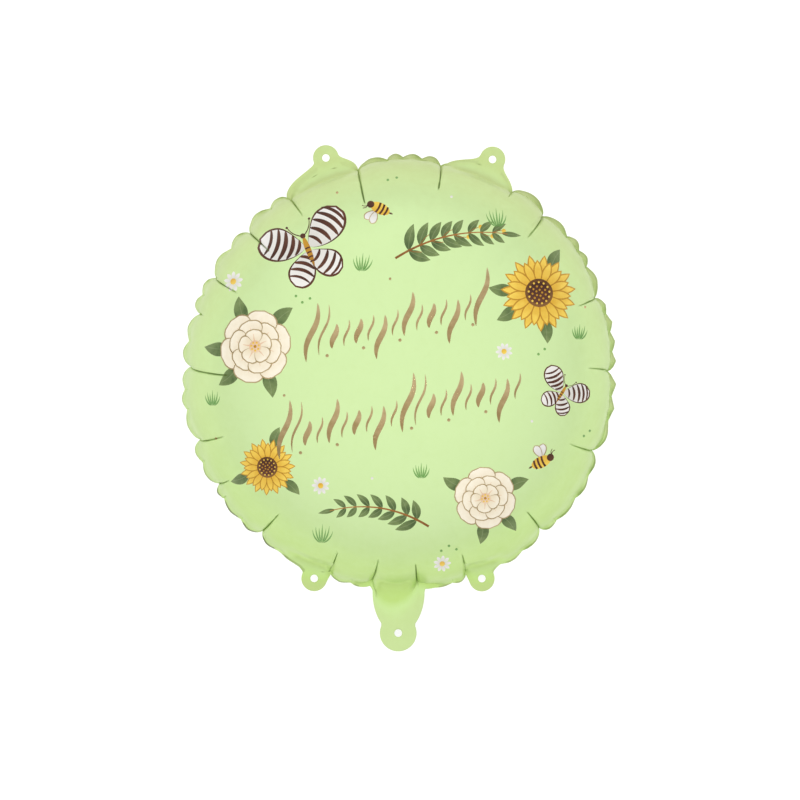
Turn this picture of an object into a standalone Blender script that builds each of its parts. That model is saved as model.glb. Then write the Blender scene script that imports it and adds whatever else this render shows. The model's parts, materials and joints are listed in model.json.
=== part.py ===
"""Round foil balloon, blown up and lying on its back with the printed side up.

Two plastic films are welded together round a wavy rim that carries four hanging tabs and a
filling neck. Blown up, the films pull the rim in, which gathers them into deep folds and small
scallops. The sealed balloon is modelled as one solid.

Metres, +Z up, the neck towards -Y. The origin is the middle of the flat spot on the back.
Angles are in degrees, anticlockwise from +X as seen from the front.
"""

import math

import bpy
import numpy as np
from mathutils import Vector
from mathutils.geometry import delaunay_2d_cdt

# The blown-up body
WELD_RADIUS = 0.1725        # inner edge of the rim weld, at the crests of its scallops
FULLNESS = 0.9              # height as a share of what taut film would reach
REST_RADIUS = 0.038         # flat spot on the back, where the balloon lies
LOBE_RISE = 0.042           # how far a lobe swells between two folds, as a share of its width
BACK_FOLD_SHARE = 0.85      # reach of the folds on the back, as a share of those on the front

# The weld that joins the films
WELD_WIDTH = 0.0048         # flat band round the rim
WELD_THICKNESS = 0.0004     # both films together, in the band, the tabs and the neck
RIPPLE_HEIGHT = 0.0018      # how far the band waves up and down

# Slow waves of the rim: how many go round, how high they are, and the angle of the first crest
RIM_WAVES = (
    (1, 0.0016, 276.0),
    (2, 0.0016, 48.0),
    (3, 0.0013, 68.0),
)

# Deep folds, pulled in from the rim
FOLD_DEPTH = 0.0055
FOLD_HALF_WIDTH = 0.0042
FOLD_TIP_SHARE = 0.3        # width left at a fold's inner end, as a share of that at the rim
FOLD_RIM_SHARE = 0.3        # depth at the rim, as a share of the full depth

# Small scallops between the folds
SCALLOP_RISE = 0.2          # depth of a scallop as a share of its width
SCALLOP_DEEPEST = 0.0042
SCALLOP_FADE = 0.009        # film in from the weld over which the scallops die away

# Hanging tabs and filling neck, measured outwards from the weld
HOLE_RADIUS = 0.0031
TAB_HEAD_RADIUS = 0.0104
NECK_ANGLE = 269.5
NECK_HALF_WIDTH = 0.0211
NECK_BODY_MIDDLE = 0.0070
NECK_BODY_REACH = 0.0405
NECK_WAIST_HALF_WIDTH = 0.0138
NECK_HEAD_MIDDLE = 0.0402
NECK_HEAD_RADIUS = 0.0149
NECK_ROOT_FLARE = 0.0048

# The body's air runs a short way into the neck
TONGUE_ANGLE = 268.3
TONGUE_HALF_WIDTH = 0.0162
TONGUE_REACH = 0.0190
TONGUE_RUN = 0.0900         # film in from the weld over which the tongue blends into the body

# Angle of a deep fold at the rim, how far it reaches in, how many degrees it leans on the way,
# and the angles of the notches between the scallops up to the next fold
LOBES = (
    (0.0, 0.0205, 0.6, (5.2, 10.7, 15.6)),
    (20.5, 0.0200, -0.8, (29.5, 34.0, 38.7)),
    (47.6, 0.0255, -1.6, ()),
    (58.0, 0.0090, 0.0, ()),
    (79.0, 0.0240, -1.0, (84.2, 89.5, 93.3)),
    (102.0, 0.0330, 0.1, ()),
    (122.8, 0.0225, -0.5, (128.5,)),
    (137.5, 0.0270, 0.3, (144.0,)),
    (153.3, 0.0255, 1.5, (159.0,)),
    (164.0, 0.0060, 0.4, (172.0,)),
    (178.7, 0.0340, 3.2, (185.0, 190.0)),
    (199.0, 0.0230, 1.7, (204.5,)),
    (212.0, 0.0110, 0.7, (215.5, 223.0)),
    (229.2, 0.0220, 0.6, (235.5,)),
    (250.6, 0.0190, 0.4, (257.0,)),
    (262.0, 0.0210, 1.4, ()),
    (274.5, 0.0170, -0.1, (278.5, 284.0)),
    (287.8, 0.0170, 0.7, (297.5, 304.0)),
    (311.5, 0.0200, 0.3, (316.0, 324.0, 331.0)),
    (337.5, 0.0235, -1.2, (347.0, 353.0)),
)

# Angle of each hanging tab, how far its hole is from the weld, and how wide its root flares
# to the right and to the left, as seen looking out from the middle
TABS = (
    (66.5, 0.0148, 0.0270, 0.0380),
    (109.3, 0.0108, 0.0225, 0.0420),
    (247.4, 0.0098, 0.0330, 0.0114),
    (291.4, 0.0084, 0.0110, 0.0270),
)

# How finely the surface is divided
ROOT_OVERLAP = 0.0020       # how far out from the weld's inner edge the tabs' roots start
ROOT_SINK = 0.0150          # enough to bring a root's corners inside the weld band
OUTLINE_STEP = 0.0060
CIRCLE_POINTS = 20
NECK_POINTS = 32
FLANK_POINTS = 6
SCALLOP_STEP = 0.0062
TONGUE_COLUMNS = 11
FOLD_COLUMNS = (-1.0, -0.4, 0.0, 0.4, 1.0)      # shares of a fold's half width
RIM_RUNS = (0.0025, 0.0060, 0.0110)             # film in from the weld, with all columns
SIDE_RUNS = (0.0180, 0.0270, 0.0380, 0.0510, 0.0660)    # film in from the weld, with few
MIDDLE_SPACING = 0.0220
CHORD_GAP = 0.0005          # most that a ring's chords may cut inside the true circle
SAME_SPOT = 0.00002         # corners closer than this are joined
PROFILE_STEPS = 400

FILM_COLOUR = (0.66, 0.86, 0.43, 1.0)


def turned(degrees):
    return np.radians(np.asarray(degrees, float))


def profile():
    """Film from the middle, radius, height and outward normal along the blown-up film.

    It is the curve that taut film takes when it can gather but not stretch, made lower by
    FULLNESS.
    """
    lean = np.linspace(0.0, math.pi / 2, PROFILE_STEPS)
    slack = np.sqrt(1 + np.sin(lean) ** 2)
    radius_rate = WELD_RADIUS * np.cos(lean)
    height_rate = -FULLNESS * WELD_RADIUS * np.sin(lean) ** 2 / slack

    def summed(rate):
        steps = (rate[1:] + rate[:-1]) / 2 * np.diff(lean)
        return np.concatenate(([0.0], np.cumsum(steps)))

    height = summed(height_rate)
    speed = np.hypot(radius_rate, height_rate)
    return {
        "film": summed(speed),
        "radius": WELD_RADIUS * np.sin(lean),
        "height": height - height[-1],
        "out": -height_rate / speed,
        "up": radius_rate / speed,
    }


PROFILE = profile()
FILM_RADIUS = PROFILE["film"][-1]
REST_HEIGHT = float(np.interp(REST_RADIUS, PROFILE["radius"], PROFILE["height"]))


def film_run(reach):
    """Film between the weld and a spot that lies this far in, seen from the front."""
    return FILM_RADIUS - np.interp(WELD_RADIUS - reach, PROFILE["radius"], PROFILE["film"])


def away(angle, degrees):
    """Signed angle from a direction, in radians from -pi to pi."""
    return (angle - turned(degrees) + math.pi) % (2 * math.pi) - math.pi


def smooth(share):
    share = np.clip(share, 0.0, 1.0)
    return share * share * (3 - 2 * share)


def notch_angles():
    """Every fold and scallop notch round the rim, in order."""
    return np.array(sorted(a for fold in LOBES for a in (fold[0], *fold[3])))


def place_between(angle, marks):
    """Share of the way from the mark before to the mark after, and the distance between them."""
    ends = np.append(marks, marks[0] + 360.0)
    degrees = (np.degrees(angle) - marks[0]) % 360.0 + marks[0]
    index = np.clip(np.searchsorted(ends, degrees, side="right") - 1, 0, len(marks) - 1)
    gap = ends[index + 1] - ends[index]
    return (degrees - ends[index]) / gap, turned(gap) * WELD_RADIUS, index


def flat_parts():
    """Angle and half width, as seen from the front, of each stretch of rim that stays flat."""
    tabs = [(angle, TAB_HEAD_RADIUS) for angle, *_ in TABS]
    return [*tabs, (NECK_ANGLE, NECK_HALF_WIDTH)]


def gathered(angle):
    """1 where the rim is gathered into scallops, 0 where a tab or the neck holds it flat."""
    share = np.ones_like(angle)
    for middle, half_width in flat_parts():
        off = np.abs(away(angle, middle)) * WELD_RADIUS
        share *= smooth((off - half_width) / half_width)
    return share


def fold_depth(angle, run, reach_share):
    """How deep the folds are at a spot on the film."""
    depth = np.zeros_like(angle)
    for middle, reach, lean, _ in LOBES:
        length = film_run(reach * reach_share)
        along = np.clip(run / length, 0.0, 1.0)
        off = np.abs(away(angle, middle + lean * along)) * WELD_RADIUS
        half_width = FOLD_HALF_WIDTH * (1 - (1 - FOLD_TIP_SHARE) * along)
        across = np.clip(1 - off / half_width, 0.0, 1.0) ** 2
        rise = FOLD_RIM_SHARE + (2 - FOLD_RIM_SHARE) * along
        depth += FOLD_DEPTH * rise * (1 - along) ** 1.2 * across
    return depth


def swelling(angle, run, reach_share):
    """How far the gathers push the film out along its normal, or in where it is negative."""
    across, width, _ = place_between(angle, np.array([fold[0] for fold in LOBES]))
    lobe = LOBE_RISE * width * ((1 - np.abs(2 * across - 1) ** 2.5) - 1)
    lobe *= np.exp(-run / (0.35 * FILM_RADIUS))
    across, width, _ = place_between(angle, notch_angles())
    crest = np.sin(math.pi * across) ** 0.75
    deep = np.minimum(SCALLOP_RISE * width, SCALLOP_DEEPEST)
    scallop = deep * (crest - 1) * gathered(angle)
    scallop *= np.exp(-((run / SCALLOP_FADE) ** 2))
    return lobe + scallop - fold_depth(angle, run, reach_share)


def rim_wave(angle):
    """How far the whole rim stands out from a circle."""
    return sum(size * np.cos(count * away(angle, crest)) for count, size, crest in RIM_WAVES)


def tongue(angle, run):
    """How far the air runs out into the neck."""
    off = np.abs(away(angle, TONGUE_ANGLE)) * WELD_RADIUS / TONGUE_HALF_WIDTH
    width = np.clip(1 - off**2, 0.0, 1.0) ** 0.8
    return TONGUE_REACH * width * (1 - np.clip(run / TONGUE_RUN, 0.0, 1.0)) ** 3


def ripple(angle, run):
    """How far the weld band waves up or down."""
    across, _, index = place_between(angle, notch_angles())
    side = np.where(index % 2 == 0, 1.0, -1.0)
    wave = side * np.sin(math.pi * across) * gathered(angle)
    return RIPPLE_HEIGHT * wave * np.exp(-run / SCALLOP_FADE)


def weld_line(angle):
    """Radius of the weld's inner edge in each direction."""
    run = np.zeros_like(angle)
    return WELD_RADIUS + rim_wave(angle) + swelling(angle, run, 1.0) + tongue(angle, run)


def blown_up(film, side):
    """Where spots of the flat film end up, on the front (side 1) or the back (side -1)."""
    distance = np.hypot(film[:, 0], film[:, 1])
    angle = np.arctan2(film[:, 1], film[:, 0])
    run = np.maximum(FILM_RADIUS - distance, 0.0)

    def at(name):
        return np.interp(distance, PROFILE["film"], PROFILE[name])

    reach_share = 1.0 if side > 0 else BACK_FOLD_SHARE
    push = swelling(angle, run, reach_share)
    rim_push = swelling(angle, np.zeros_like(run), 1.0)
    near_rim = np.exp(-run / SCALLOP_FADE)
    push = push + (rim_push - push) * near_rim
    radius = at("radius") + at("out") * push + tongue(angle, run)
    radius += rim_wave(angle) * (at("radius") / WELD_RADIUS) ** 2
    radius += np.maximum(distance - FILM_RADIUS, 0.0)
    height = np.maximum(at("height") + at("up") * push, 0.0)
    if side < 0:
        height = np.minimum(height, REST_HEIGHT)
    lift = REST_HEIGHT + WELD_THICKNESS / 2 + ripple(angle, run)
    z = lift + side * (height + WELD_THICKNESS / 2)
    return np.column_stack((radius * np.cos(angle), radius * np.sin(angle), z))


def laid_flat(plan):
    """Spots of the weld band, a tab or the neck on the flat film, from their blown-up place."""
    angle = np.arctan2(plan[:, 1], plan[:, 0])
    distance = FILM_RADIUS + np.hypot(plan[:, 0], plan[:, 1]) - weld_line(angle)
    distance = np.maximum(distance, FILM_RADIUS + ROOT_OVERLAP)
    return np.column_stack((distance * np.cos(angle), distance * np.sin(angle)))


def circle(middle_out, radius, count=CIRCLE_POINTS):
    """Across and out coordinates of a circle whose middle is this far out from the weld."""
    angle = np.arange(count) * 2 * math.pi / count
    return np.column_stack((radius * np.cos(angle), middle_out + radius * np.sin(angle)))


def placed(points, degrees):
    """Across and out coordinates from the weld, turned to a direction from the middle."""
    angle = turned(degrees)
    out = np.array((math.cos(angle), math.sin(angle)))
    across = np.array((math.sin(angle), -math.cos(angle)))
    return points[:, :1] * across + (points[:, 1:] + WELD_RADIUS) * out


def divided(outline):
    """The outline with its long edges cut into short ones."""
    spots = []
    for start, end in zip(outline, np.roll(outline, -1, axis=0)):
        steps = math.ceil(np.hypot(*(end - start)) / OUTLINE_STEP)
        spots += [start + (end - start) * step / steps for step in range(steps)]
    return np.array(spots)


def tab_outlines():
    """Head and flared root of each hanging tab, then its hole."""
    outlines, holes = [], []
    for degrees, hole_out, right, left in TABS:
        share = np.linspace(0.0, 1.0, FLANK_POINTS)
        radius = WELD_RADIUS + hole_out * share
        flare = (1 - share**1.5) ** 2.5
        right_side = TAB_HEAD_RADIUS + (right - TAB_HEAD_RADIUS) * flare
        left_side = TAB_HEAD_RADIUS + (left - TAB_HEAD_RADIUS) * flare
        right_out = np.sqrt(radius**2 - (right_side * (1 - share)) ** 2) - WELD_RADIUS
        left_out = np.sqrt(radius**2 - (left_side * (1 - share)) ** 2) - WELD_RADIUS
        right_flank = np.column_stack((right_side, right_out))
        left_flank = np.column_stack((-left_side, left_out))[::-1]
        root = np.vstack((left_flank[-1], right_flank[0])) - (0.0, ROOT_SINK)
        shape = np.vstack((right_flank, left_flank, root))
        outlines.append(placed(divided(shape), degrees))
        outlines.append(placed(circle(hole_out, TAB_HEAD_RADIUS), degrees))
        holes.append(placed(circle(hole_out, HOLE_RADIUS), degrees))
    return outlines, holes


def neck_outlines():
    """The neck's root, body, waist and round head, then its hole."""
    angle = np.arange(NECK_POINTS + 1) * math.pi / NECK_POINTS
    body_out = NECK_BODY_MIDDLE + (NECK_BODY_REACH - NECK_BODY_MIDDLE) * np.sin(angle)
    body = np.column_stack((NECK_HALF_WIDTH * np.cos(angle), body_out))
    share = np.linspace(0.0, 1.0, FLANK_POINTS)
    root_side = NECK_HALF_WIDTH + NECK_ROOT_FLARE * (1 - share) ** 2
    right_root = np.column_stack((root_side, NECK_BODY_MIDDLE * share))
    left_root = (right_root * (-1, 1))[::-1]
    waist_end = NECK_HEAD_MIDDLE - math.sqrt(NECK_HEAD_RADIUS**2 - NECK_WAIST_HALF_WIDTH**2)
    waist = np.array((
        (NECK_WAIST_HALF_WIDTH, NECK_BODY_MIDDLE),
        (NECK_WAIST_HALF_WIDTH, waist_end),
        (-NECK_WAIST_HALF_WIDTH, waist_end),
        (-NECK_WAIST_HALF_WIDTH, NECK_BODY_MIDDLE),
    ))
    main_shape = divided(np.vstack((right_root[:-1], body, left_root[1:])))
    head = circle(NECK_HEAD_MIDDLE, NECK_HEAD_RADIUS, NECK_POINTS)
    hole = circle(NECK_HEAD_MIDDLE, HOLE_RADIUS)
    outlines = [placed(shape, NECK_ANGLE) for shape in (main_shape, divided(waist), head)]
    return outlines, [placed(hole, NECK_ANGLE)]


def fold_columns(run):
    """Angles at which a ring this far in from the weld is divided, close together at folds."""
    angles = []
    for middle, reach, lean, _ in LOBES:
        along = min(run / film_run(reach), 1.0)
        if along < 1.0:
            half_width = FOLD_HALF_WIDTH * (1 - (1 - FOLD_TIP_SHARE) * along)
            spread = math.degrees(half_width / WELD_RADIUS)
            angles += [middle + lean * along + share * spread for share in FOLD_COLUMNS]
    return angles


def rim_columns():
    """Angles at which the scallops and the tongue are divided."""
    ends = np.append(notch_angles(), 360.0 + notch_angles()[0])
    angles = []
    for start, end in zip(ends, ends[1:]):
        pairs = max(1, round(math.radians(end - start) * WELD_RADIUS / SCALLOP_STEP / 2))
        angles += np.linspace(start, end, 2 * pairs + 1)[:-1].tolist()
    spread = math.degrees(TONGUE_HALF_WIDTH / WELD_RADIUS)
    return angles + list(TONGUE_ANGLE + spread * np.linspace(-1.0, 1.0, TONGUE_COLUMNS))


def even_columns(distance):
    """Evenly spaced angles, with chords that stay close to a circle this far out."""
    radius = np.interp(distance, PROFILE["film"], PROFILE["radius"])
    count = math.ceil(math.pi / math.acos(1 - CHORD_GAP / radius))
    return np.arange(count) * 360.0 / count


def thinned(angles, least):
    """The angles in order, without those that crowd the one before."""
    kept = []
    for angle in sorted(a % 360.0 for a in angles):
        if not kept or angle - kept[-1] > least:
            kept.append(angle)
    return np.array(kept)


def ring(distance, degrees):
    angle = turned(degrees)
    return np.column_stack((distance * np.cos(angle), distance * np.sin(angle)))


def surface_rings():
    """Rings of spots on the film, from the weld's outer edge to the middle."""
    least = math.degrees(0.2 * FOLD_HALF_WIDTH / WELD_RADIUS)
    at_rim = thinned(rim_columns() + fold_columns(0.0), least)
    rings = [ring(FILM_RADIUS + WELD_WIDTH, at_rim), ring(FILM_RADIUS, at_rim)]
    for run in RIM_RUNS:
        rings.append(ring(FILM_RADIUS - run, thinned(rim_columns() + fold_columns(run), least)))
    for run in SIDE_RUNS:
        columns = list(even_columns(FILM_RADIUS - run)) + fold_columns(run)
        rings.append(ring(FILM_RADIUS - run, thinned(columns, 2 * least)))
    rest_film = float(np.interp(REST_RADIUS, PROFILE["radius"], PROFILE["film"]))
    middle_reach = FILM_RADIUS - SIDE_RUNS[-1]
    steps = max(2, round((middle_reach - rest_film) / MIDDLE_SPACING))
    for distance in np.linspace(middle_reach, rest_film, steps + 1)[1:]:
        rings.append(ring(distance, even_columns(distance)))
    rings.append(ring(rest_film / 2, even_columns(rest_film / 4)))
    rings.append(np.zeros((1, 2)))
    return rings


def within(spots, outline):
    """Which spots lie inside a closed outline, counted by how often it winds round them."""
    turns = np.zeros(len(spots), int)
    x, y = spots.T
    for (x0, y0), (x1, y1) in zip(outline, np.roll(outline, -1, axis=0)):
        side = (x1 - x0) * (y - y0) - (x - x0) * (y1 - y0)
        turns += (y0 <= y) & (y1 > y) & (side > 0)
        turns -= (y0 > y) & (y1 <= y) & (side < 0)
    return turns != 0


def beyond_band(shape):
    """The stretch of an outline outside the weld band, and which of its spots are free of it."""
    free = np.hypot(*shape.T) > FILM_RADIUS + WELD_WIDTH
    kept = free | np.roll(free, 1) | np.roll(free, -1)
    return shape[kept], free[kept]


def cut_film():
    """Triangles over the film's cutting pattern, with its tabs, neck and holes."""
    tabs, tab_holes = tab_outlines()
    neck, neck_holes = neck_outlines()
    rings = surface_rings()
    holes = [laid_flat(shape) for shape in tab_holes + neck_holes]
    outlines = [(shape, np.ones(len(shape), bool)) for shape in rings[:2] + holes]
    outlines += [beyond_band(laid_flat(shape)) for shape in tabs + neck]
    spots, edges = [], []
    for shape, free in outlines:
        starts = np.arange(len(shape)) + len(spots)
        bound = free | np.roll(free, -1)
        edges += zip(starts[bound].tolist(), np.roll(starts, -1)[bound].tolist())
        spots += shape.tolist()
    for shape in rings[2:]:
        spots += shape.tolist()
    found = delaunay_2d_cdt([Vector(s) for s in spots], edges, [], 0, SAME_SPOT, False)
    film = np.array([tuple(v) for v in found[0]])
    triangles = np.array(found[2])
    middles = film[triangles].mean(axis=1)
    solids = [rings[0]] + [laid_flat(shape) for shape in tabs + neck]
    in_film = np.any([within(middles, shape) for shape in solids], axis=0)
    in_hole = np.any([within(middles, shape) for shape in holes], axis=0)
    return film, triangles[in_film & ~in_hole].tolist()


def rim_edges(triangles):
    """Edges that belong to only one triangle, in that triangle's direction."""
    seen = set()
    for a, b, c in triangles:
        seen.update(((a, b), (b, c), (c, a)))
    return [(a, b) for a, b in seen if (b, a) not in seen]


def film_material():
    material = bpy.data.materials.new("green_film")
    material.use_nodes = True
    shader = material.node_tree.nodes["Principled BSDF"]
    shader.inputs["Base Color"].default_value = FILM_COLOUR
    shader.inputs["Roughness"].default_value = 0.4
    shader.inputs["Metallic"].default_value = 0.25
    return material


def foil_balloon():
    """The sealed balloon: front film, back film and the edge between them, as one solid."""
    film, triangles = cut_film()
    front = blown_up(film, 1)
    back = blown_up(film, -1)
    count = len(film)
    faces = list(triangles)
    faces += [(c + count, b + count, a + count) for a, b, c in triangles]
    faces += [(b, a, a + count, b + count) for a, b in rim_edges(triangles)]
    mesh = bpy.data.meshes.new("foil_balloon")
    mesh.from_pydata(np.vstack((front, back)).tolist(), [], faces)
    mesh.shade_smooth()
    mesh.set_sharp_from_angle(angle=math.radians(40))
    mesh.materials.append(film_material())
    balloon = bpy.data.objects.new("foil_balloon", mesh)
    bpy.context.scene.collection.objects.link(balloon)
    return balloon


def main():
    for old in list(bpy.data.objects):
        bpy.data.objects.remove(old)
    foil_balloon()


main()
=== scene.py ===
"""Round foil balloon lying on its back: printed front film, plain back film, floor and light.

Metres, +Z up, the neck towards -Y. The origin is the middle of the flat spot on the back.
Angles are in degrees, anticlockwise from +X as seen from the front. The shape is worked out on
the flat film, in distance from its middle and angle, and is then blown up.
"""

import json
import math

import bpy
import numpy as np
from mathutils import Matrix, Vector
from mathutils.geometry import delaunay_2d_cdt


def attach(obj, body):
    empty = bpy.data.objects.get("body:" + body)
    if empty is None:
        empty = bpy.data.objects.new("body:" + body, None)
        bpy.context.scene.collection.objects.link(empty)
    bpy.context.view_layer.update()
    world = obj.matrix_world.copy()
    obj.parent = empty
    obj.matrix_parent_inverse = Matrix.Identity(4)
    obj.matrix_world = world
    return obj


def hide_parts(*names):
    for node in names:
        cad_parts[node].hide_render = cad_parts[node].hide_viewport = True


bl_info = {
    "name": "Foil Balloon",
    "version": (1, 0, 0),
    "blender": (4, 5, 0),
    "location": "3D View > Sidebar > Balloon",
    "description": "Builds a round printed foil balloon and a plain stage round it",
    "category": "Add Mesh",
}

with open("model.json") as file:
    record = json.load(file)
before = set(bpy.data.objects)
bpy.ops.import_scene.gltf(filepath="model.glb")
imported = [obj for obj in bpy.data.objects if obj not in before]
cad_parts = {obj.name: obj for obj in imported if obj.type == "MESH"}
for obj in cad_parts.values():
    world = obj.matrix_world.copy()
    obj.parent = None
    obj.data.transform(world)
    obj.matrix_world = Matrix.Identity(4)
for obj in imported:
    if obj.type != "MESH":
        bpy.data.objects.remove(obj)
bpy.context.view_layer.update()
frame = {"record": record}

# The blown-up body, the same as the solid's
WELD_RADIUS = 0.1725        # inner edge of the rim weld, at the crests of its scallops
FULLNESS = 0.9              # height as a share of what taut film would reach
LOBE_RISE = 0.042           # how far a lobe swells between two folds, as a share of its width
LOBE_BLUNTNESS = 2.5        # 1 is a pointed lobe; more is blunter
LOBE_FADE = 0.35            # share of the film's radius over which the lobes die away
FRONT_FOLD_SHARE = 1.18     # reach of the folds on the front, as a share of the solid's
BACK_FOLD_SHARE = 0.85      # and of those on the back
PROFILE_STEPS = 400

# The weld that joins the films
WELD_WIDTH = 0.0048
WELD_THICKNESS = 0.0004
RIPPLE_HEIGHT = 0.0018

# Slow waves of the rim: how many go round, how high they are, and the angle of the first crest
RIM_WAVES = (
    (1, 0.0016, 276.0),
    (2, 0.0016, 48.0),
    (3, 0.0013, 68.0),
)

# Deep folds, pulled in from the rim
FOLD_DEPTH = 0.0042
FOLD_HALF_WIDTH = 0.0042
FOLD_TIP_SHARE = 0.3        # how wide it still is at its end
FOLD_RIM_SHARE = 0.3        # how deep it already is at the rim
FOLD_TAPER = 1.2            # 1 runs out evenly; more runs out sooner

# The sharp line at the bottom of each fold in turn: its strength at the rim, halfway and at its end
# The same strength sets how dark the painted shade in the crease is.
CREASES = (
    (0.50, 0.40, 0.30), (0.40, 0.60, 0.30), (0.50, 0.50, 0.45), (0.40, 0.20, 0.10),
    (0.50, 0.50, 0.90), (0.55, 0.45, 1.00), (0.50, 0.45, 0.30), (0.60, 0.70, 0.60),
    (0.40, 0.70, 0.40), (0.50, 0.30, 0.20), (0.60, 0.70, 0.80), (0.40, 0.60, 0.30),
    (0.70, 0.50, 0.20), (0.70, 0.60, 0.50), (0.80, 0.70, 0.40), (0.90, 0.70, 0.30),
    (0.90, 0.80, 0.50), (0.60, 0.50, 0.50), (0.70, 0.70, 0.50), (0.35, 0.45, 0.30),
)
CREASE_THINNEST = 0.00018   # half the width of the faintest line
CREASE_WIDENING = 0.00018   # how much wider on each side the strongest line is
CREASE_END = 0.08           # share of a fold's length over which the line runs out

# The film bulges out over the weld and hides all of it at the notches. Between them this share
# of the weld shows, by angle
WELD_SHOWN = (
    (0.0, 0.78), (50.0, 0.84), (93.0, 0.85), (104.0, 0.50), (126.0, 0.14), (200.0, 0.14),
    (214.0, 0.22), (238.0, 0.26), (258.0, 0.16), (300.0, 0.16), (336.0, 0.24), (344.0, 0.60),
    (352.0, 0.78),
)
WELD_LEAST_SHOWN = 0.05
WELD_CREST = 0.75           # 1 is the arch of a sine; less is blunter
BULGE_RUN = 0.0060          # film over which the bulge dies away

# The rim is pointed rather than round between the notches on this side
POINTED_ANGLE = 2.0
POINTED_SPREAD = 24.0
POINTED_STEEPNESS = 2.6

# At the tabs and the neck the film leaves the weld more gently
TAB_EASE_RUN = 0.0320
NECK_EASE_RUN = 0.0480
NECK_EASE_WIDTH = 1.3       # as a share of the neck's own width
EASE_STEEPNESS = 1.4

# The film is evened out like a taut skin where the tabs and the neck grow out of it
EVENING_ROUNDS = 560
EVENING_STEP = 0.5          # share of the way to its neighbours that the film moves in a round
EVENING_MIDDLE = 0.0040     # film in from the weld where it is evened most
EVENING_RUN = 0.0340
EVENING_STEEPNESS = (1.8, 1.5)      # along the rim and inwards

# The neck's root, as a row like those of the tabs
NECK_ROOT = ((269.0, 0.0, 0.0200, 0.0150),)

# There the shading is softened too: strongest share, film where it ends and over which it fades,
# and how much less it is at the bottom of the picture
TAB_SOFTNESS = (0.95, 0.0320, 0.0170, 0.25)
NECK_SOFTNESS = (0.90, 0.0380, 0.0220, 0.0)
ROOT_STEEPNESS = 2.0

# The weld band leans: towards this side it droops, and away from it it stands up
DROOP_ANGLE = 222.0
DROOP = 0.0015
FACET_TILT_CHANGE = 0.3     # how unlike one another its facets tilt

# Small scallops between the folds
SCALLOP_RISE = 0.2
SCALLOP_DEEPEST = 0.0042
SCALLOP_FADE = 0.009

# How deep the notches between the folds are, as a share of the solid's, by angle
NOTCH_SHARE = (
    (0.0, 1.0), (160.0, 1.0), (185.0, 0.75), (215.0, 0.70), (240.0, 0.50), (300.0, 0.50),
    (335.0, 0.55), (350.0, 0.80),
)

# Hanging tabs and filling neck, measured outwards from the weld
HOLE_RADIUS = 0.0031
TAB_HEAD_RADIUS = 0.0104
NECK_ANGLE = 269.5
NECK_HALF_WIDTH = 0.0211
NECK_BODY_MIDDLE = 0.0070
NECK_BODY_REACH = 0.0405
NECK_WAIST_HALF_WIDTH = 0.0138
NECK_HEAD_MIDDLE = 0.0402
NECK_HEAD_RADIUS = 0.0149
NECK_ROOT_FLARE = 0.0048
NECK_SIDE = 1.15            # where its sides end and over which they fade, in half widths
NECK_SIDE_FADE = 0.15
CURL_START = 0.008          # how far out the tabs' curl is at its full height
CURL_WAVES = (23, 260)      # waves round the rim, and radians to a metre outwards

# The body's air runs a short way into the neck
TONGUE_ANGLE = 268.3
TONGUE_HALF_WIDTH = 0.0188
TONGUE_REACH = 0.0190
TONGUE_RUN = 0.0900

# Angle of a deep fold at the rim, how far it reaches in, how many degrees it leans on the way,
# and the angles of the notches between the scallops up to the next fold
LOBES = (
    (0.0, 0.0205, 0.6, (5.2, 10.7, 15.6)),
    (20.5, 0.0200, -0.8, (29.5, 34.0, 38.7)),
    (47.6, 0.0255, -1.6, ()),
    (58.0, 0.0090, 0.0, ()),
    (79.0, 0.0240, -1.0, (84.2, 89.5, 93.3)),
    (102.0, 0.0330, 0.1, ()),
    (122.8, 0.0225, -0.5, (128.5,)),
    (137.5, 0.0270, 0.3, (144.0,)),
    (153.3, 0.0255, 1.5, (159.0,)),
    (164.0, 0.0060, 0.4, (172.0,)),
    (178.7, 0.0340, 3.2, (185.0, 190.0)),
    (199.0, 0.0230, 1.7, (204.5,)),
    (212.0, 0.0110, 0.7, (215.5, 223.0)),
    (229.2, 0.0220, 0.6, (235.5,)),
    (250.6, 0.0190, 0.4, (257.0,)),
    (262.0, 0.0210, 1.4, ()),
    (274.5, 0.0170, -0.1, (278.5, 284.0)),
    (287.8, 0.0170, 0.7, (297.5, 304.0)),
    (311.5, 0.0200, 0.3, (316.0, 324.0, 331.0)),
    (337.5, 0.0235, -1.2, (347.0, 353.0)),
)

# Angle of each hanging tab, how far its hole is from the weld, and how wide its root flares
# to the right and to the left, as seen looking out from the middle
TABS = (
    (66.5, 0.0148, 0.0260, 0.0345),
    (109.3, 0.0108, 0.0217, 0.0405),
    (247.4, 0.0098, 0.0330, 0.0114),
    (291.4, 0.0084, 0.0110, 0.0270),
)
TAB_FLAT_SHARE = 0.4        # how much of its head's radius a tab holds the rim quite flat
ROOT_DROP = 0.0035          # how far a flank dips where it starts
ROOT_OVERLAP = 0.0020
ROOT_SINK = 0.0150

# Fine gathers near the weld: how many go round, their share of the height, and their turn
GATHERS = (
    (71, 1.0, 0.3),
    (113, 0.7, 1.9),
    (181, 0.45, 4.1),
)
GATHER_REACH = 1.4          # how far in a gather reaches, as a share of its length
GATHER_CHANGE = 0.4         # how unlike one another the gathers are

# Short dents near the tabs and the neck: angle, film in from the weld, and half its length along
# the rim and across it
DENTS = (
    (113.9, 0.0010, 0.0030, 0.0008),
    (108.5, 0.0002, 0.0024, 0.0008),
    (69.3, -0.0030, 0.0028, 0.0008),
    (274.6, -0.0008, 0.0007, 0.0034),
    (274.0, -0.0012, 0.0026, 0.0008),
    (263.6, -0.0010, 0.0028, 0.0008),
    (263.9, -0.0025, 0.0007, 0.0030),
    (249.2, 0.0010, 0.0024, 0.0008),
)
DENT_DEPTH = 0.0003         # less than the weld's thickness, so the front stays above the back
# How dark the painted shade in a dent is
DENT_SHADE = 0.80

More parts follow.
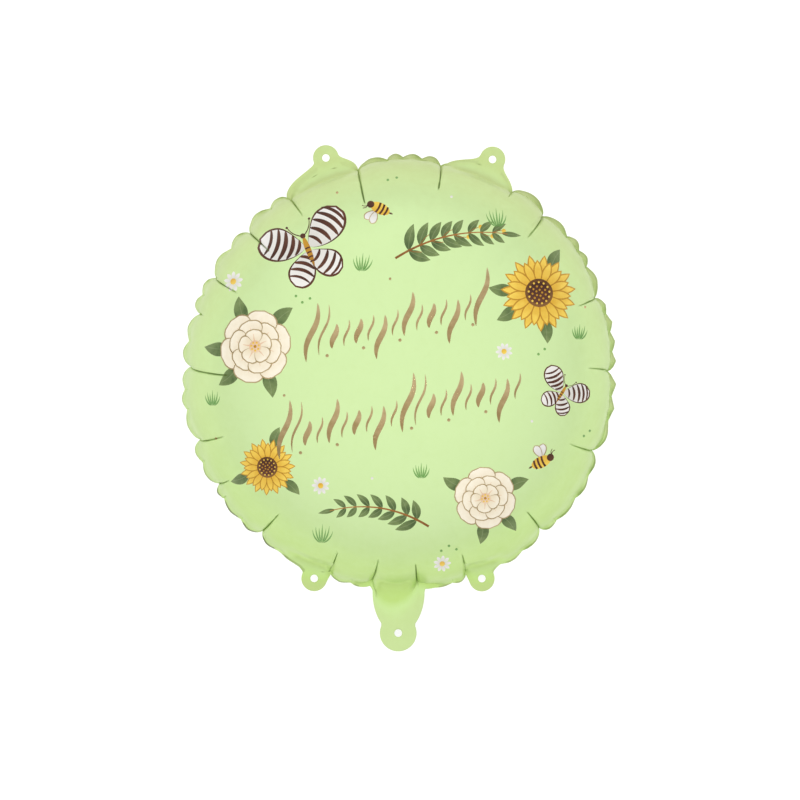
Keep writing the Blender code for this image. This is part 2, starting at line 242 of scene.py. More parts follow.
# How finely the films are divided: film in from the weld, and the spacing there
FRONT_SPACING = (
    (-0.005, 0.0011), (0.0, 0.0009), (0.012, 0.0010), (0.03, 0.0014), (0.06, 0.0022), (0.1, 0.0030),
)
BACK_SPACING = (
    (-0.005, 0.0013), (0.0, 0.0012), (0.012, 0.0015), (0.03, 0.0024), (0.06, 0.0038), (0.1, 0.0050),
)
CREASE_COLUMNS = (
    -0.0034, -0.0022, -0.0014, -0.0008, -0.00045, -0.00022, 0.0,
    0.00022, 0.00045, 0.0008, 0.0014, 0.0022, 0.0034,
)
NOTCH_COLUMNS = (-0.0009, -0.0004, 0.0, 0.0004, 0.0009)
NOTCH_COLUMNS_RUN = 1.6 * SCALLOP_FADE
COLUMNS_END = -0.0012       # film beyond the weld's inner edge where the folds' columns end
RING_STRETCH = 1.1          # spots along a ring are this much further apart than the rings
INNERMOST_RING = 0.004
OUTLINE_STEP = 0.0009
LEAST_GAP = 0.0007          # between the edges of a shape and the film's other spots
EDGE_MARGIN = 0.0009        # film along every cut edge that may be darker

# Painted shade along the cut edge: how dark it is by angle, and how dark along the tabs and the
# neck
EDGE_DARKNESS = (
    (0.0, 0.25), (95.0, 0.25), (126.0, 0.12), (205.0, 0.20), (218.0, 0.95), (241.0, 0.90),
    (252.0, 0.45), (300.0, 0.35), (335.0, 0.45), (350.0, 0.30),
)
TAB_EDGE_DARKNESS = 0.12
EDGE_STEEPNESS = 3.0
EDGE_BREAK = (2.2, 0.4)     # how soon the dark line comes back beside a notch, and its gap there
EDGE_LINE = 0.0011          # width of the dark line along the cut edge
EDGE_AT_TABS = 0.6          # how much fainter the line is beside a tab

# The weld's painted shade: the two halves of a facet, every other facet, and how much fainter at a
# tab
WELD_SHADE_STEP = 0.0008    # film over which the weld's shade begins
FACET_SHADES = (0.78, 1.0)
FACET_CHANGE = 0.12
WELD_AT_TABS = 0.9
WELD_STEEPNESS = 6.0
WELD_LEAST_SHADE = 0.45

# The plain film is darkened with painted shade near the weld and the tabs: where it begins to and
# over which share of its radius, and how deep it is at the sides and how much deeper above and
# below
DEEPENING = (0.55, 0.35)
SIDE_DEEPNESS = 0.52
TOP_DEEPNESS = 0.42
# Painted light lifts the film at the tabs' roots and over the upper tabs
ROOT_LIGHTNESS = 0.4        # how much lighter it is at a tab's root
ROOT_LIGHT_RUN = 0.010
TAB_FADE = 0.012            # how far out of the weld a tab or the neck has its own green
UPPER_TAB_LIGHTNESS = 0.25
# Painted shade also greys the lower tabs and the neck towards the weld's green
TAB_GREYNESS = 0.50         # how near the lower tabs come to the weld's greyer green
NECK_GREYNESS = 0.32        # and the neck
NECK_DEEPNESS = 0.35        # how deep the neck's green is: 0 as light as the middle
NECK_FADE = 0.0100          # film over which the body's deeper green ends at the neck
NECK_FADE_START = 0.2

# Numbers for the working
BISECTIONS = 26
SHARP_ANGLE = 48.0          # edges sharper than this keep their crease in the shading
SAME_SPOT = 0.00002


# The blown-up film

def turned(degrees):
    return np.radians(np.asarray(degrees, float))


def profile():
    """Film from the middle, radius, height and outward normal along the blown-up film."""
    lean = np.linspace(0.0, math.pi / 2, PROFILE_STEPS)
    slack = np.sqrt(1 + np.sin(lean) ** 2)
    radius_rate = WELD_RADIUS * np.cos(lean)
    height_rate = -FULLNESS * WELD_RADIUS * np.sin(lean) ** 2 / slack

    def summed(rate):
        steps = (rate[1:] + rate[:-1]) / 2 * np.diff(lean)
        return np.concatenate(([0.0], np.cumsum(steps)))

    height = summed(height_rate)
    speed = np.hypot(radius_rate, height_rate)
    return {
        "film": summed(speed),
        "radius": WELD_RADIUS * np.sin(lean),
        "height": height - height[-1],
        "out": -height_rate / speed,
        "up": radius_rate / speed,
    }


PROFILE = profile()
FILM_RADIUS = PROFILE["film"][-1]
HOLES = frame["record"]["physics"]["openings"]
RIM_HEIGHT = sum(HOLES[0]["box_m"][end][2] for end in (0, 1)) / 2
REST_HEIGHT = RIM_HEIGHT - WELD_THICKNESS / 2


def film_run(reach):
    """Film between the weld and a spot that lies this far in, seen from the front."""
    return FILM_RADIUS - np.interp(WELD_RADIUS - reach, PROFILE["radius"], PROFILE["film"])


def away(angle, degrees):
    """Signed angle from a direction, in radians from -pi to pi."""
    return (angle - turned(degrees) + math.pi) % (2 * math.pi) - math.pi


def smooth(share):
    share = np.clip(share, 0.0, 1.0)
    return share * share * (3 - 2 * share)


def arch(share):
    """1 halfway along, 0 at both ends."""
    return np.clip(np.sin(math.pi * share), 0.0, 1.0)


def polar(spots):
    """Distance from the middle, and angle."""
    return np.hypot(spots[..., 0], spots[..., 1]), np.arctan2(spots[..., 1], spots[..., 0])


def ring(distance, angle):
    """Spots at this distance from the middle and these angles."""
    return np.column_stack((distance * np.cos(angle), distance * np.sin(angle)))


def round_rim(degrees, table):
    """What a table of angles and values gives in each direction."""
    marks, values = np.array(table).T
    return np.interp(degrees, marks, values, period=360.0)


def notch_angles():
    """Every fold and scallop notch round the rim, in order."""
    return np.array(sorted(a for fold in LOBES for a in (fold[0], *fold[3])))


def place_between(angle, marks):
    """Share of the way from one mark to the next, the distance between them, the first's number."""
    ends = np.append(marks, marks[0] + 360.0)
    degrees = (np.degrees(angle) - marks[0]) % 360.0 + marks[0]
    index = np.clip(np.searchsorted(ends, degrees, side="right") - 1, 0, len(marks) - 1)
    gap = ends[index + 1] - ends[index]
    return (degrees - ends[index]) / gap, turned(gap) * WELD_RADIUS, index


def gathered(angle):
    """1 where the rim is gathered into scallops, 0 where a tab or the neck holds it flat."""
    share = np.ones_like(angle)
    flat = [(tab[0], TAB_FLAT_SHARE * TAB_HEAD_RADIUS, TAB_HEAD_RADIUS) for tab in TABS]
    for middle, half_width, fade in flat + [(NECK_ANGLE, NECK_HALF_WIDTH, NECK_HALF_WIDTH)]:
        off = np.abs(away(angle, middle)) * WELD_RADIUS
        share *= smooth((off - half_width) / fade)
    return share


def beside_tabs(angle, steepness, tabs=TABS):
    """1 where a tab and its flanks run along the rim, 0 where there is none."""
    share = np.zeros_like(angle)
    for middle, _, right, left in tabs:
        off = away(angle, middle) * WELD_RADIUS
        width = np.where(off > 0, left, right)
        share = np.maximum(share, smooth(steepness * (1 - np.abs(off) / width)))
    return share


def over_neck(angle):
    """1 over the width of the neck, 0 beside it."""
    off = np.abs(away(angle, NECK_ANGLE)) * WELD_RADIUS / NECK_HALF_WIDTH
    return smooth((NECK_SIDE - off) / NECK_SIDE_FADE)


def weld_shown(angle):
    """Share of the weld's width that shows from the front: all of it at the tabs and the neck."""
    across, _, _ = place_between(angle, notch_angles())
    shown = round_rim(np.degrees(angle), WELD_SHOWN) * arch(across) ** WELD_CREST
    return 1 + (np.maximum(shown, WELD_LEAST_SHOWN) - 1) * gathered(angle)


def notch_depth(across, index):
    """How far the rim is drawn in beside its notches: fully at a fold, less at some of the rest."""
    angles = notch_angles()
    depth = round_rim(angles, NOTCH_SHARE)
    depth[np.isin(angles, [fold[0] for fold in LOBES])] = 1.0
    return depth[index] + (np.roll(depth, -1) - depth)[index] * across


def folds(angle, run, reach_share, crease_depth):
    """How deep the folds are at spots of the film, and how near they are to a sharp crease, which
    sets the painted shade there.
    """
    depth = np.zeros_like(angle)
    crease = np.zeros_like(angle)
    for (middle, reach, lean, _), marks in zip(LOBES, CREASES):
        along = np.clip(run / film_run(reach * reach_share), 0.0, 1.0)
        off = np.abs(away(angle, middle + lean * along)) * WELD_RADIUS
        half_width = FOLD_HALF_WIDTH * (1 - (1 - FOLD_TIP_SHARE) * along)
        across = np.clip(1 - off / half_width, 0.0, 1.0) ** 2
        rise = FOLD_RIM_SHARE + (2 - FOLD_RIM_SHARE) * along
        depth += FOLD_DEPTH * rise * (1 - along) ** FOLD_TAPER * across
        strength = np.interp(along, (0.0, 0.5, 1.0), marks) * smooth((1 - along) / CREASE_END)
        half_width = CREASE_THINNEST + CREASE_WIDENING * strength
        line = strength * np.clip(1 - off / half_width, 0.0, 1.0)
        depth += crease_depth * line
        crease = np.maximum(crease, line)
    return depth, crease


def gathers(angle, run, height):
    """Fine waves of the film, which die away from the weld."""
    wave = np.zeros_like(angle)
    for count, share, turn in GATHERS:
        length = 2 * math.pi * WELD_RADIUS / count
        slow = 1 - GATHER_CHANGE + GATHER_CHANGE * np.sin(angle * (count % 7 + 2) + turn)
        reach = GATHER_REACH * length
        wave += share * slow * np.sin(count * angle + turn) * np.exp(-run / reach)
    return height * wave * gathered(angle)


def dents(angle, run):
    """Short dents beside the tabs and the neck: their depth, and how dark their painted shade is.
    """
    dent = np.zeros_like(angle)
    for middle, inward, along, across in DENTS:
        off = away(angle, middle) * WELD_RADIUS / along
        dent = np.maximum(dent, np.exp(-(off**2) - ((run - inward) / across) ** 2))
    return DENT_DEPTH * dent, DENT_SHADE * dent**2


def swelling(angle, run, reach_share, look):
    """How far lobes, scallops, folds and gathers push the film, and how near a crease is."""
    across, width, _ = place_between(angle, np.array([fold[0] for fold in LOBES]))
    push = LOBE_RISE * width * ((1 - np.abs(2 * across - 1) ** LOBE_BLUNTNESS) - 1)
    push *= np.exp(-run / (LOBE_FADE * FILM_RADIUS))
    across, width, index = place_between(angle, notch_angles())
    crest = arch(across)
    off = np.abs(away(angle, POINTED_ANGLE)) / math.radians(POINTED_SPREAD)
    crest += (1 - np.abs(2 * across - 1) - crest) * smooth(POINTED_STEEPNESS * (1 - off))
    deep = np.minimum(SCALLOP_RISE * width, SCALLOP_DEEPEST) * notch_depth(across, index)
    push += deep * (crest - 1) * gathered(angle) * np.exp(-((run / SCALLOP_FADE) ** 2))
    depth, crease = folds(angle, run, reach_share, look.crease_depth)
    return push - depth + gathers(angle, run, look.gather_height), crease


def tongue(angle, run):
    """How far the air runs out into the neck."""
    off = np.abs(away(angle, TONGUE_ANGLE)) * WELD_RADIUS / TONGUE_HALF_WIDTH
    width = np.clip(1 - off**2, 0.0, 1.0) ** 1.5
    return TONGUE_REACH * width * (1 - np.clip(run / TONGUE_RUN, 0.0, 1.0)) ** 3


def rim_wave(angle):
    """How far the whole rim stands out from a circle."""
    return sum(size * np.cos(count * away(angle, crest)) for count, size, crest in RIM_WAVES)


def weld_line(angle, look):
    """Radius of the weld's inner edge in each direction."""
    run = np.zeros_like(angle)
    return WELD_RADIUS + rim_wave(angle) + swelling(angle, run, 1.0, look)[0] + tongue(angle, run)


def fold_share(side):
    return FRONT_FOLD_SHARE if side > 0 else BACK_FOLD_SHARE


def spread(distance, angle, side, look):
    """Radius, push and nearness to a crease of spots of the film, once it is blown up."""
    run = np.maximum(FILM_RADIUS - distance, 0.0)
    push, crease = swelling(angle, run, fold_share(side), look)
    rim_push, _ = swelling(angle, np.zeros_like(run), 1.0, look)
    push = push + (rim_push - push) * np.exp(-run / SCALLOP_FADE)
    flat_radius = np.interp(distance, PROFILE["film"], PROFILE["radius"])
    radius = flat_radius + np.interp(distance, PROFILE["film"], PROFILE["out"]) * push
    radius += tongue(angle, run) + rim_wave(angle) * (flat_radius / WELD_RADIUS) ** 2
    shown = weld_shown(angle)
    radius += WELD_WIDTH * (1 - shown) * np.exp(-run / BULGE_RUN)
    beyond = np.maximum(distance - FILM_RADIUS, 0.0)
    radius += shown * np.minimum(beyond, WELD_WIDTH) + np.maximum(beyond - WELD_WIDTH, 0.0)
    return radius, push, crease


def eased(angle, run):
    """Share of its height that the film keeps where a tab or the neck eases it off the weld."""
    share = 1 - beside_tabs(angle, EASE_STEEPNESS) * (1 - smooth(run / TAB_EASE_RUN))
    off = np.abs(away(angle, NECK_ANGLE)) * WELD_RADIUS
    flat = smooth(EASE_STEEPNESS * (1 - off / NECK_HALF_WIDTH / NECK_EASE_WIDTH))
    return share * (1 - flat * (1 - smooth(run / NECK_EASE_RUN)))


def rim_lift(distance, angle, look):
    """Height of the rim's middle: the weld ripples, and its facets tilt by turns."""
    run = np.maximum(FILM_RADIUS - distance, 0.0)
    out = np.clip((distance - FILM_RADIUS) / WELD_WIDTH, 0.0, 1.0)
    across, _, index = place_between(angle, notch_angles())
    side = np.where(index % 2 == 0, 1.0, -1.0)
    wave = RIPPLE_HEIGHT * side * np.sin(math.pi * across) * np.exp(-run / SCALLOP_FADE)
    zigzag = 1 - np.abs(4 * across - 1)
    zigzag = np.where(across > 0.5, np.abs(4 * across - 3) - 1, zigzag)
    uneven = 1 - FACET_TILT_CHANGE + FACET_TILT_CHANGE * np.sin(2.3 * index + 1.0)
    tilt = (look.band_tilt * zigzag * uneven - DROOP * np.cos(away(angle, DROOP_ANGLE))) * out
    beyond = smooth((distance - FILM_RADIUS - WELD_WIDTH) / CURL_START)
    curl = look.tab_curl * beyond * np.sin(CURL_WAVES[0] * angle + CURL_WAVES[1] * distance)
    return RIM_HEIGHT + (wave + tilt) * gathered(angle) + curl


def blown_up(film, side, look):
    """Where spots of the flat film end up, on the front (side 1) or the back (side -1)."""
    distance, angle = polar(film)
    radius, push, crease = spread(distance, angle, side, look)
    height = np.interp(distance, PROFILE["film"], PROFILE["height"])
    height = np.maximum(height + np.interp(distance, PROFILE["film"], PROFILE["up"]) * push, 0.0)
    height *= eased(angle, np.maximum(FILM_RADIUS - distance, 0.0))
    crease = crease * np.clip(1 - (distance - FILM_RADIUS) / CREASE_THINNEST / 3, 0.0, 1.0)
    if side < 0:
        height = np.minimum(height, REST_HEIGHT - WELD_THICKNESS / 2)
    z = rim_lift(distance, angle, look) + side * (height + WELD_THICKNESS / 2)
    return np.column_stack((ring(radius, angle), z)), crease


def root_share(film):
    """How strongly the film is evened out: 1 at the root of a tab or the neck, 0 further off."""
    distance, angle = polar(film)
    share = beside_tabs(angle, EVENING_STEEPNESS[0], TABS + NECK_ROOT)
    off = np.abs(FILM_RADIUS - distance - EVENING_MIDDLE)
    return share * smooth(EVENING_STEEPNESS[1] * (1 - off / EVENING_RUN))


def evened(places, film, triangles):
    """The film relaxed like a taut skin near the tabs and the neck, its cut edge kept in place."""
    share = root_share(film)
    share[np.unique(open_edges(triangles))] = 0.0
    pairs = np.vstack((triangles[:, :2], triangles[:, 1:], triangles[:, ::2]))
    pairs = np.unique(np.sort(pairs[np.any(share[pairs] > 0, axis=1)], axis=1), axis=0)
    a, b = pairs.T
    neighbours = np.maximum(np.bincount(pairs.ravel(), minlength=len(places)), 1)
    moving = np.flatnonzero(share > 0)
    for _ in range(EVENING_ROUNDS):
        for axis in range(3):
            line = places[:, axis]
            total = np.bincount(a, line[b], len(places)) + np.bincount(b, line[a], len(places))
            line[moving] += EVENING_STEP * share[moving] * (total / neighbours - line)[moving]
    return places


def film_spots(plan, look):
    """Spots of the flat front film that end up at these spots seen from the front."""
    wanted, angle = polar(plan)
    low, high = np.zeros_like(wanted), np.full_like(wanted, FILM_RADIUS)
    for _ in range(BISECTIONS):
        middle = (low + high) / 2
        short = spread(middle, angle, 1, look)[0] < wanted
        low, high = np.where(short, middle, low), np.where(short, high, middle)
    return ring(low, angle)


# The film's cutting pattern

def laid_flat(plan, look):
    """Spots of the weld band, a tab or the neck on the flat film, from their blown-up place."""
    radius, angle = polar(plan)
    distance = FILM_RADIUS + radius - weld_line(angle, look)
    return ring(np.maximum(distance, FILM_RADIUS + ROOT_OVERLAP), angle)


def circle(middle_out, radius):
    """Across and out coordinates of a circle whose middle is this far out from the weld."""
    count = max(24, math.ceil(2 * math.pi * radius / OUTLINE_STEP))
    angle = np.arange(count) * 2 * math.pi / count
    return np.column_stack((radius * np.cos(angle), middle_out + radius * np.sin(angle)))


def placed(points, degrees):
    """Across and out coordinates from the weld, turned to a direction from the middle."""
    angle = turned(degrees)
    out = np.array((math.cos(angle), math.sin(angle)))
    across = np.array((math.sin(angle), -math.cos(angle)))
    return points[:, :1] * across + (points[:, 1:] + WELD_RADIUS) * out


def divided(outline):
    """The outline with its long edges cut into short ones."""
    spots = []
    for start, end in zip(outline, np.roll(outline, -1, axis=0)):
        steps = max(1, math.ceil(np.hypot(*(end - start)) / OUTLINE_STEP))
        spots += [start + (end - start) * step / steps for step in range(steps)]
    return np.array(spots)


def flank(hole_out, root_width, side):
    """One side of a tab, from its wide root on the weld up to its head."""
    share = np.linspace(0.0, 1.0, 20)
    radius = WELD_RADIUS + hole_out * share - ROOT_DROP * (1 - share) ** 6
    width = TAB_HEAD_RADIUS + (root_width - TAB_HEAD_RADIUS) * (1 - share**1.5) ** 2.5
    out = np.sqrt(radius**2 - (width * (1 - share)) ** 2) - WELD_RADIUS
    return np.column_stack((side * width, out))


def tab_outlines():
    """Head and flared root of each hanging tab, then its hole."""
    outlines, holes = [], []
    for degrees, hole_out, right, left in TABS:
        right_flank, left_flank = flank(hole_out, right, 1), flank(hole_out, left, -1)[::-1]
        root = np.vstack((left_flank[-1], right_flank[0])) - (0.0, ROOT_SINK)
        shape = np.vstack((right_flank, left_flank, root))
        outlines.append(placed(divided(shape), degrees))
        outlines.append(placed(circle(hole_out, TAB_HEAD_RADIUS), degrees))
        holes.append(placed(circle(hole_out, HOLE_RADIUS), degrees))
    return outlines, holes


def neck_outlines():
    """The neck's root and body, waist and round head, then its hole."""
    angle = np.linspace(0.0, math.pi, 60)
    body_out = NECK_BODY_MIDDLE + (NECK_BODY_REACH - NECK_BODY_MIDDLE) * np.sin(angle)
    body = np.column_stack((NECK_HALF_WIDTH * np.cos(angle), body_out))
    share = np.linspace(0.0, 1.0, 16)
    root_side = NECK_HALF_WIDTH + NECK_ROOT_FLARE * (1 - share) ** 2
    right_root = np.column_stack((root_side, NECK_BODY_MIDDLE * share))
    left_root = (right_root * (-1, 1))[::-1]
    waist_end = NECK_HEAD_MIDDLE - math.sqrt(NECK_HEAD_RADIUS**2 - NECK_WAIST_HALF_WIDTH**2)
    waist = np.array((
        (NECK_WAIST_HALF_WIDTH, NECK_BODY_MIDDLE),
        (NECK_WAIST_HALF_WIDTH, waist_end),
        (-NECK_WAIST_HALF_WIDTH, waist_end),
        (-NECK_WAIST_HALF_WIDTH, NECK_BODY_MIDDLE),
    ))
    main_shape = divided(np.vstack((right_root[:-1], body, left_root[1:])))
    head = circle(NECK_HEAD_MIDDLE, NECK_HEAD_RADIUS)
    hole = circle(NECK_HEAD_MIDDLE, HOLE_RADIUS)
    outlines = [placed(shape, NECK_ANGLE) for shape in (main_shape, divided(waist), head)]
    return outlines, [placed(hole, NECK_ANGLE)]


def within(spots, outline):
    """Which spots lie inside a closed outline, counted by how often it winds round them."""
    inside = np.zeros(len(spots), bool)
    low, high = outline.min(axis=0), outline.max(axis=0)
    near = np.flatnonzero(np.all((spots > low) & (spots < high), axis=1))
    x, y = spots[near].T
    turns = np.zeros(len(near), int)
    for (x0, y0), (x1, y1) in zip(outline, np.roll(outline, -1, axis=0)):
        side = (x1 - x0) * (y - y0) - (x - x0) * (y1 - y0)
        turns += (y0 <= y) & (y1 > y) & (side > 0)
        turns -= (y0 > y) & (y1 <= y) & (side < 0)
    inside[near] = turns != 0
    return inside


def triangulated(spots, edges):
    found = delaunay_2d_cdt([Vector(s) for s in spots.tolist()], edges, [], 0, SAME_SPOT, False)
    return np.array([tuple(v) for v in found[0]]), np.array(found[2])


def closed_edges(shapes):
    """All the shapes' spots in one table, and the edges round each shape."""
    edges, start = [], 0
    for shape in shapes:
        order = np.arange(len(shape)) + start
        edges += zip(order.tolist(), np.roll(order, -1).tolist())
        start += len(shape)
    return np.vstack(shapes), edges


def open_edges(triangles):
    """Edges that belong to only one triangle, in that triangle's direction."""
    seen = set()
    for a, b, c in triangles.tolist():
        seen.update(((a, b), (b, c), (c, a)))
    return sorted((a, b) for a, b in seen if (b, a) not in seen)


def film_loops(look):
    """Outlines of the cut film, the outer one first and then the holes."""
    tabs, tab_holes = tab_outlines()
    neck, neck_holes = neck_outlines()
    count = round(2 * math.pi * WELD_RADIUS / OUTLINE_STEP)
    even = np.arange(count) * 360.0 / count
    degrees = spaced(even, notch_angles(), 0.4 * 360.0 / count)
    band = ring(FILM_RADIUS + WELD_WIDTH, turned(degrees))
    shapes = [band] + [laid_flat(shape, look) for shape in tabs + neck]
    spots, triangles = triangulated(*closed_edges(shapes))
    middles = spots[triangles].mean(axis=1)
    inside = np.any([within(middles, shape) for shape in shapes], axis=0)
    follow = dict(open_edges(triangles[inside]))
    start = int(np.argmax(spots[:, 0]))
    loop, spot = [start], follow[start]
    while spot != start:
        loop.append(spot)
        spot = follow[spot]
    outer = spots[loop]
    short = np.hypot(*(outer - np.roll(outer, 1, axis=0)).T) < 0.25 * OUTLINE_STEP
    return [outer[~short]] + [laid_flat(shape, look) for shape in tab_holes + neck_holes]


def drawn_in(loop, margin):
    """Spots a little way inside a loop that runs anticlockwise, or outside a clockwise one."""
    along = np.roll(loop, -1, axis=0) - np.roll(loop, 1, axis=0)
    along /= np.hypot(*along.T)[:, None]
    return loop + margin * np.column_stack((-along[:, 1], along[:, 0]))


def clear_of(spots, others, gap):
    """The spots that aren't within about a gap of the others."""
    def cells(points, shift):
        grid = np.floor(points / gap + shift).astype(np.int64)
        return grid[:, 0] * 1_000_003 + grid[:, 1]

    free = np.ones(len(spots), bool)
    for shift in (0.0, 0.5):
        free &= ~np.isin(cells(spots, shift), cells(others, shift))
    return spots[free]


def spaced(angles, marks, gap):
    """The marks, and the angles that are further than a gap from every mark."""
    marks = np.sort(np.asarray(marks, float) % 360.0)
    if not len(marks):
        return angles
    ends = np.concatenate((marks[-1:] - 360.0, marks, marks[:1] + 360.0))
    index = np.clip(np.searchsorted(ends, angles), 1, len(ends) - 1)
    off = np.minimum(angles - ends[index - 1], ends[index] - angles)
    kept = marks[np.concatenate(([True], np.diff(marks) > gap / 3))]
    return np.sort(np.concatenate((angles[off > gap], kept)))


def crease_angles(run, reach_share):
    """Angles of the folds on a ring this far in from the weld, with columns beside them."""
    spots = []
    for middle, reach, lean, _ in LOBES:
        along = max(run, 0.0) / film_run(reach * reach_share)
        if along < 1.0 and run > COLUMNS_END:
            line = middle + lean * along
            spots += [line + math.degrees(offset / WELD_RADIUS) for offset in CREASE_COLUMNS]
    return spots


def surface_spots(spacing, reach_share):
    """Spots over the whole disc of film, and chains of them along the creases."""
    runs, steps = np.array(spacing).T
    rings, run = [], -WELD_WIDTH
    while run < FILM_RADIUS - INNERMOST_RING:
        step = float(np.interp(run, runs, steps))
        distance = FILM_RADIUS - run
        plan = float(np.interp(distance, PROFILE["film"], PROFILE["radius"]))
        count = max(6, round(2 * math.pi * plan / (RING_STRETCH * step)))
        even = (np.arange(count) + 0.5 * (len(rings) % 2)) * 360.0 / count
        marks = crease_angles(run, reach_share)
        if run < NOTCH_COLUMNS_RUN:
            notches = notch_angles()
            marks += [a + math.degrees(o / WELD_RADIUS) for a in notches for o in NOTCH_COLUMNS]
        gap = math.degrees(0.45 * step / max(plan, step))
        rings.append((run, ring(distance, turned(spaced(even, marks, gap)))))
        run += step
    chains = []
    for middle, reach, lean, _ in LOBES:
        length = film_run(reach * reach_share)
        inner = [run for run, _ in rings if 0.0 <= run < length]
        degrees = np.array([middle + lean * run / length for run in inner])
        chains.append(ring(FILM_RADIUS - np.array(inner), turned(degrees)))
    spots = np.vstack([spots for _, spots in rings] + [np.zeros((1, 2))])
    return spots, chains


def tab_grid(loops, spacing):
    """Spots over the tabs and the neck, beyond the weld band."""
    low, high = loops[0].min(axis=0), loops[0].max(axis=0)
    row = np.arange(low[0], high[0], spacing)
    heights = np.arange(low[1], high[1], spacing * 0.866)
    spots = np.vstack([
        np.column_stack((row + spacing / 2 * (number % 2), np.full_like(row, y)))
        for number, y in enumerate(heights)
    ])
    spots = spots[np.hypot(*spots.T) > FILM_RADIUS + WELD_WIDTH + spacing / 2]
    return spots[within(spots, loops[0])]


def cut_film(side, spacing, shapes, look):
    """Spots and triangles of one flat film, with shapes marked out on it."""
    loops = film_loops(look)
    outer, holes = loops[0], loops[1:]
    edge_spots = np.vstack(loops)
    margin = [drawn_in(outer, EDGE_MARGIN)] + [drawn_in(h, -EDGE_MARGIN) for h in holes]
    margin = clear_of(np.vstack(margin), edge_spots, 0.55 * EDGE_MARGIN)
    surface, chains = surface_spots(spacing, fold_share(side))
    surface = np.vstack((surface, tab_grid(loops, 1.6 * spacing[1][1])))
    fixed = [edge_spots, margin] + shapes
    surface = clear_of(surface, np.vstack(fixed), LEAST_GAP)
    spots, edges = closed_edges(loops + shapes)
    for chain in chains:
        order = list(range(len(spots), len(spots) + len(chain)))
        edges += zip(order, order[1:])
        spots = np.vstack((spots, chain))
    film, triangles = triangulated(np.vstack((spots, margin, surface)), edges)
    middles = film[triangles].mean(axis=1)
    kept = np.hypot(*middles.T) < FILM_RADIUS + 0.9 * WELD_WIDTH
    kept |= within(middles, outer)
    for hole in holes:
        kept &= ~within(middles, hole)
    return film, triangles[kept]


# The printed picture, drawn in millimetres about the middle of each motif

def bowed(start, end, bow, count):
    """Path from start to end that bows to its left by a share of its length."""
    start, end = np.array(start, float), np.array(end, float)
    share = np.linspace(0.0, 1.0, count)[:, None]
    left = np.array((start[1] - end[1], end[0] - start[0]))
    return start + (end - start) * share + left * 4 * bow * share * (1 - share)


def ribbon(path, half_widths):
    """Closed outline on both sides of a path."""
    along = np.gradient(path, axis=0)
    along /= np.hypot(*along.T)[:, None]
    left = np.column_stack((-along[:, 1], along[:, 0])) * np.asarray(half_widths)[:, None]
    return np.vstack((path - left, (path + left)[::-1]))


def along_path(ink, path, half_widths):
    """A shape on both sides of a path, which deepens or lightens from its start to its end."""
    return [(ink, ribbon(path, half_widths), path[0], path[-1])]


def blade(ink, start, end, half_width, bow=0.0, fullest=1.0, bluntness=1.0, count=10):
    """A leaf, petal or brush stroke that is narrow at both ends."""
    width = half_width * arch(np.linspace(0.0, 1.0, count) ** fullest) ** (1 / bluntness)
    return along_path(ink, bowed(start, end, bow, count), np.maximum(width, 0.06))


def line(ink, start, end, width, bow=0.0, taper=0.4, count=10):
    """A drawn line that grows thinner towards its end."""
    half_widths = np.linspace(width / 2, taper * width / 2, count)
    return along_path(ink, bowed(start, end, bow, count), half_widths)


def turning(degrees, size=1.0):
    """What turns and resizes rows of spots."""
    lean = math.radians(degrees)
    return size * np.array(((math.cos(lean), math.sin(lean)), (-math.sin(lean), math.cos(lean))))


def dot(ink, x, y, radius, squeeze=1.0, count=12):
    """A round or oval spot."""
    angle = np.arange(count) * 2 * math.pi / count
    shape = np.column_stack((radius * np.cos(angle), squeeze * radius * np.sin(angle)))
    middle = np.array((x, y))
    return [(ink, shape + middle, middle + (0, radius), middle - (0, radius))]


def put(shapes, x, y, turn=0.0, size=1.0):
    """The shapes turned, made larger or smaller, and moved."""
    turn_by = turning(turn, size)
    return [
        (ink, *(np.asarray(part) @ turn_by + (x, y) for part in parts)) for ink, *parts in shapes
    ]


def toward(degrees, reach):
    return (reach * math.cos(math.radians(degrees)), reach * math.sin(math.radians(degrees)))


def leaf(start, end, half_width, bow=0.0):
    """A leaf with its middle vein."""
    shapes = blade("leaf", start, end, half_width, bow, fullest=0.85, bluntness=1.1, count=11)
    stop = np.array(start) + 0.86 * (np.array(end) - np.array(start))
    return shapes + line("vein", start, stop, 0.75, bow, count=7)


def sunflower():
    """A round flower 50 mm across with two rings of narrow petals and a dark seed head."""
    shapes = []
    for ring_number, reach in enumerate((25.0, 21.5)):
        for number in range(15):
            heading = (number + ring_number / 2) * 24.0
            start, end = toward(heading, 6.0), toward(heading, reach)
            shapes += blade("ochre_edge", start, end, 3.1, fullest=1.1, bluntness=1.3, count=9)
            end = toward(heading, reach - 1.2)
            shapes += blade("ochre", start, end, 2.3, fullest=1.1, bluntness=1.3, count=9)
    shapes += dot("seed", 0, 0, 9.2, count=28)
    shapes += dot("bark", 0, 0, 7.2, count=24)
    for ring_number, (reach, count) in enumerate(((6.9, 13), (4.4, 9), (2.0, 5))):
        for number in range(count):
            x, y = toward((number + ring_number / 2) * 360 / count, reach)
            shapes += dot("ochre_edge" if ring_number else "ochre", x, y, 0.75, count=6)
    return shapes


def blossom():
    """A full round flower 50 mm across with three rings of broad petals."""
    shapes = []
    rings = ((6, 5, 25, 11.0, 0), (6, 3, 18.5, 8.6, 30), (5, 1, 12, 6.2, 10))
    petal = {"fullest": 1.5, "bluntness": 2.2, "count": 14}
    for count, start, reach, width, turn in rings:
        for number in range(count):
            heading = number * 360 / count + turn
            root, tip = toward(heading, start), toward(heading, reach)
            shapes += blade("gold", root, tip, width, **petal)
            shapes += blade("cream", root, toward(heading, reach - 0.75), width - 0.75, **petal)
            root, tip = toward(heading, start + 3), toward(heading, reach * 0.72)
            shapes += line("blush", root, tip, 0.9, 0.04, count=6)
    shapes += dot("blush", 0, 0, 4.2, count=18)
    for number in range(7):
        x, y = toward(number * 360 / 7, 2.7)
        shapes += dot("ochre", x, y, 0.8, count=6)
    return shapes + dot("ochre_edge", 0, 0, 1.1, count=8)


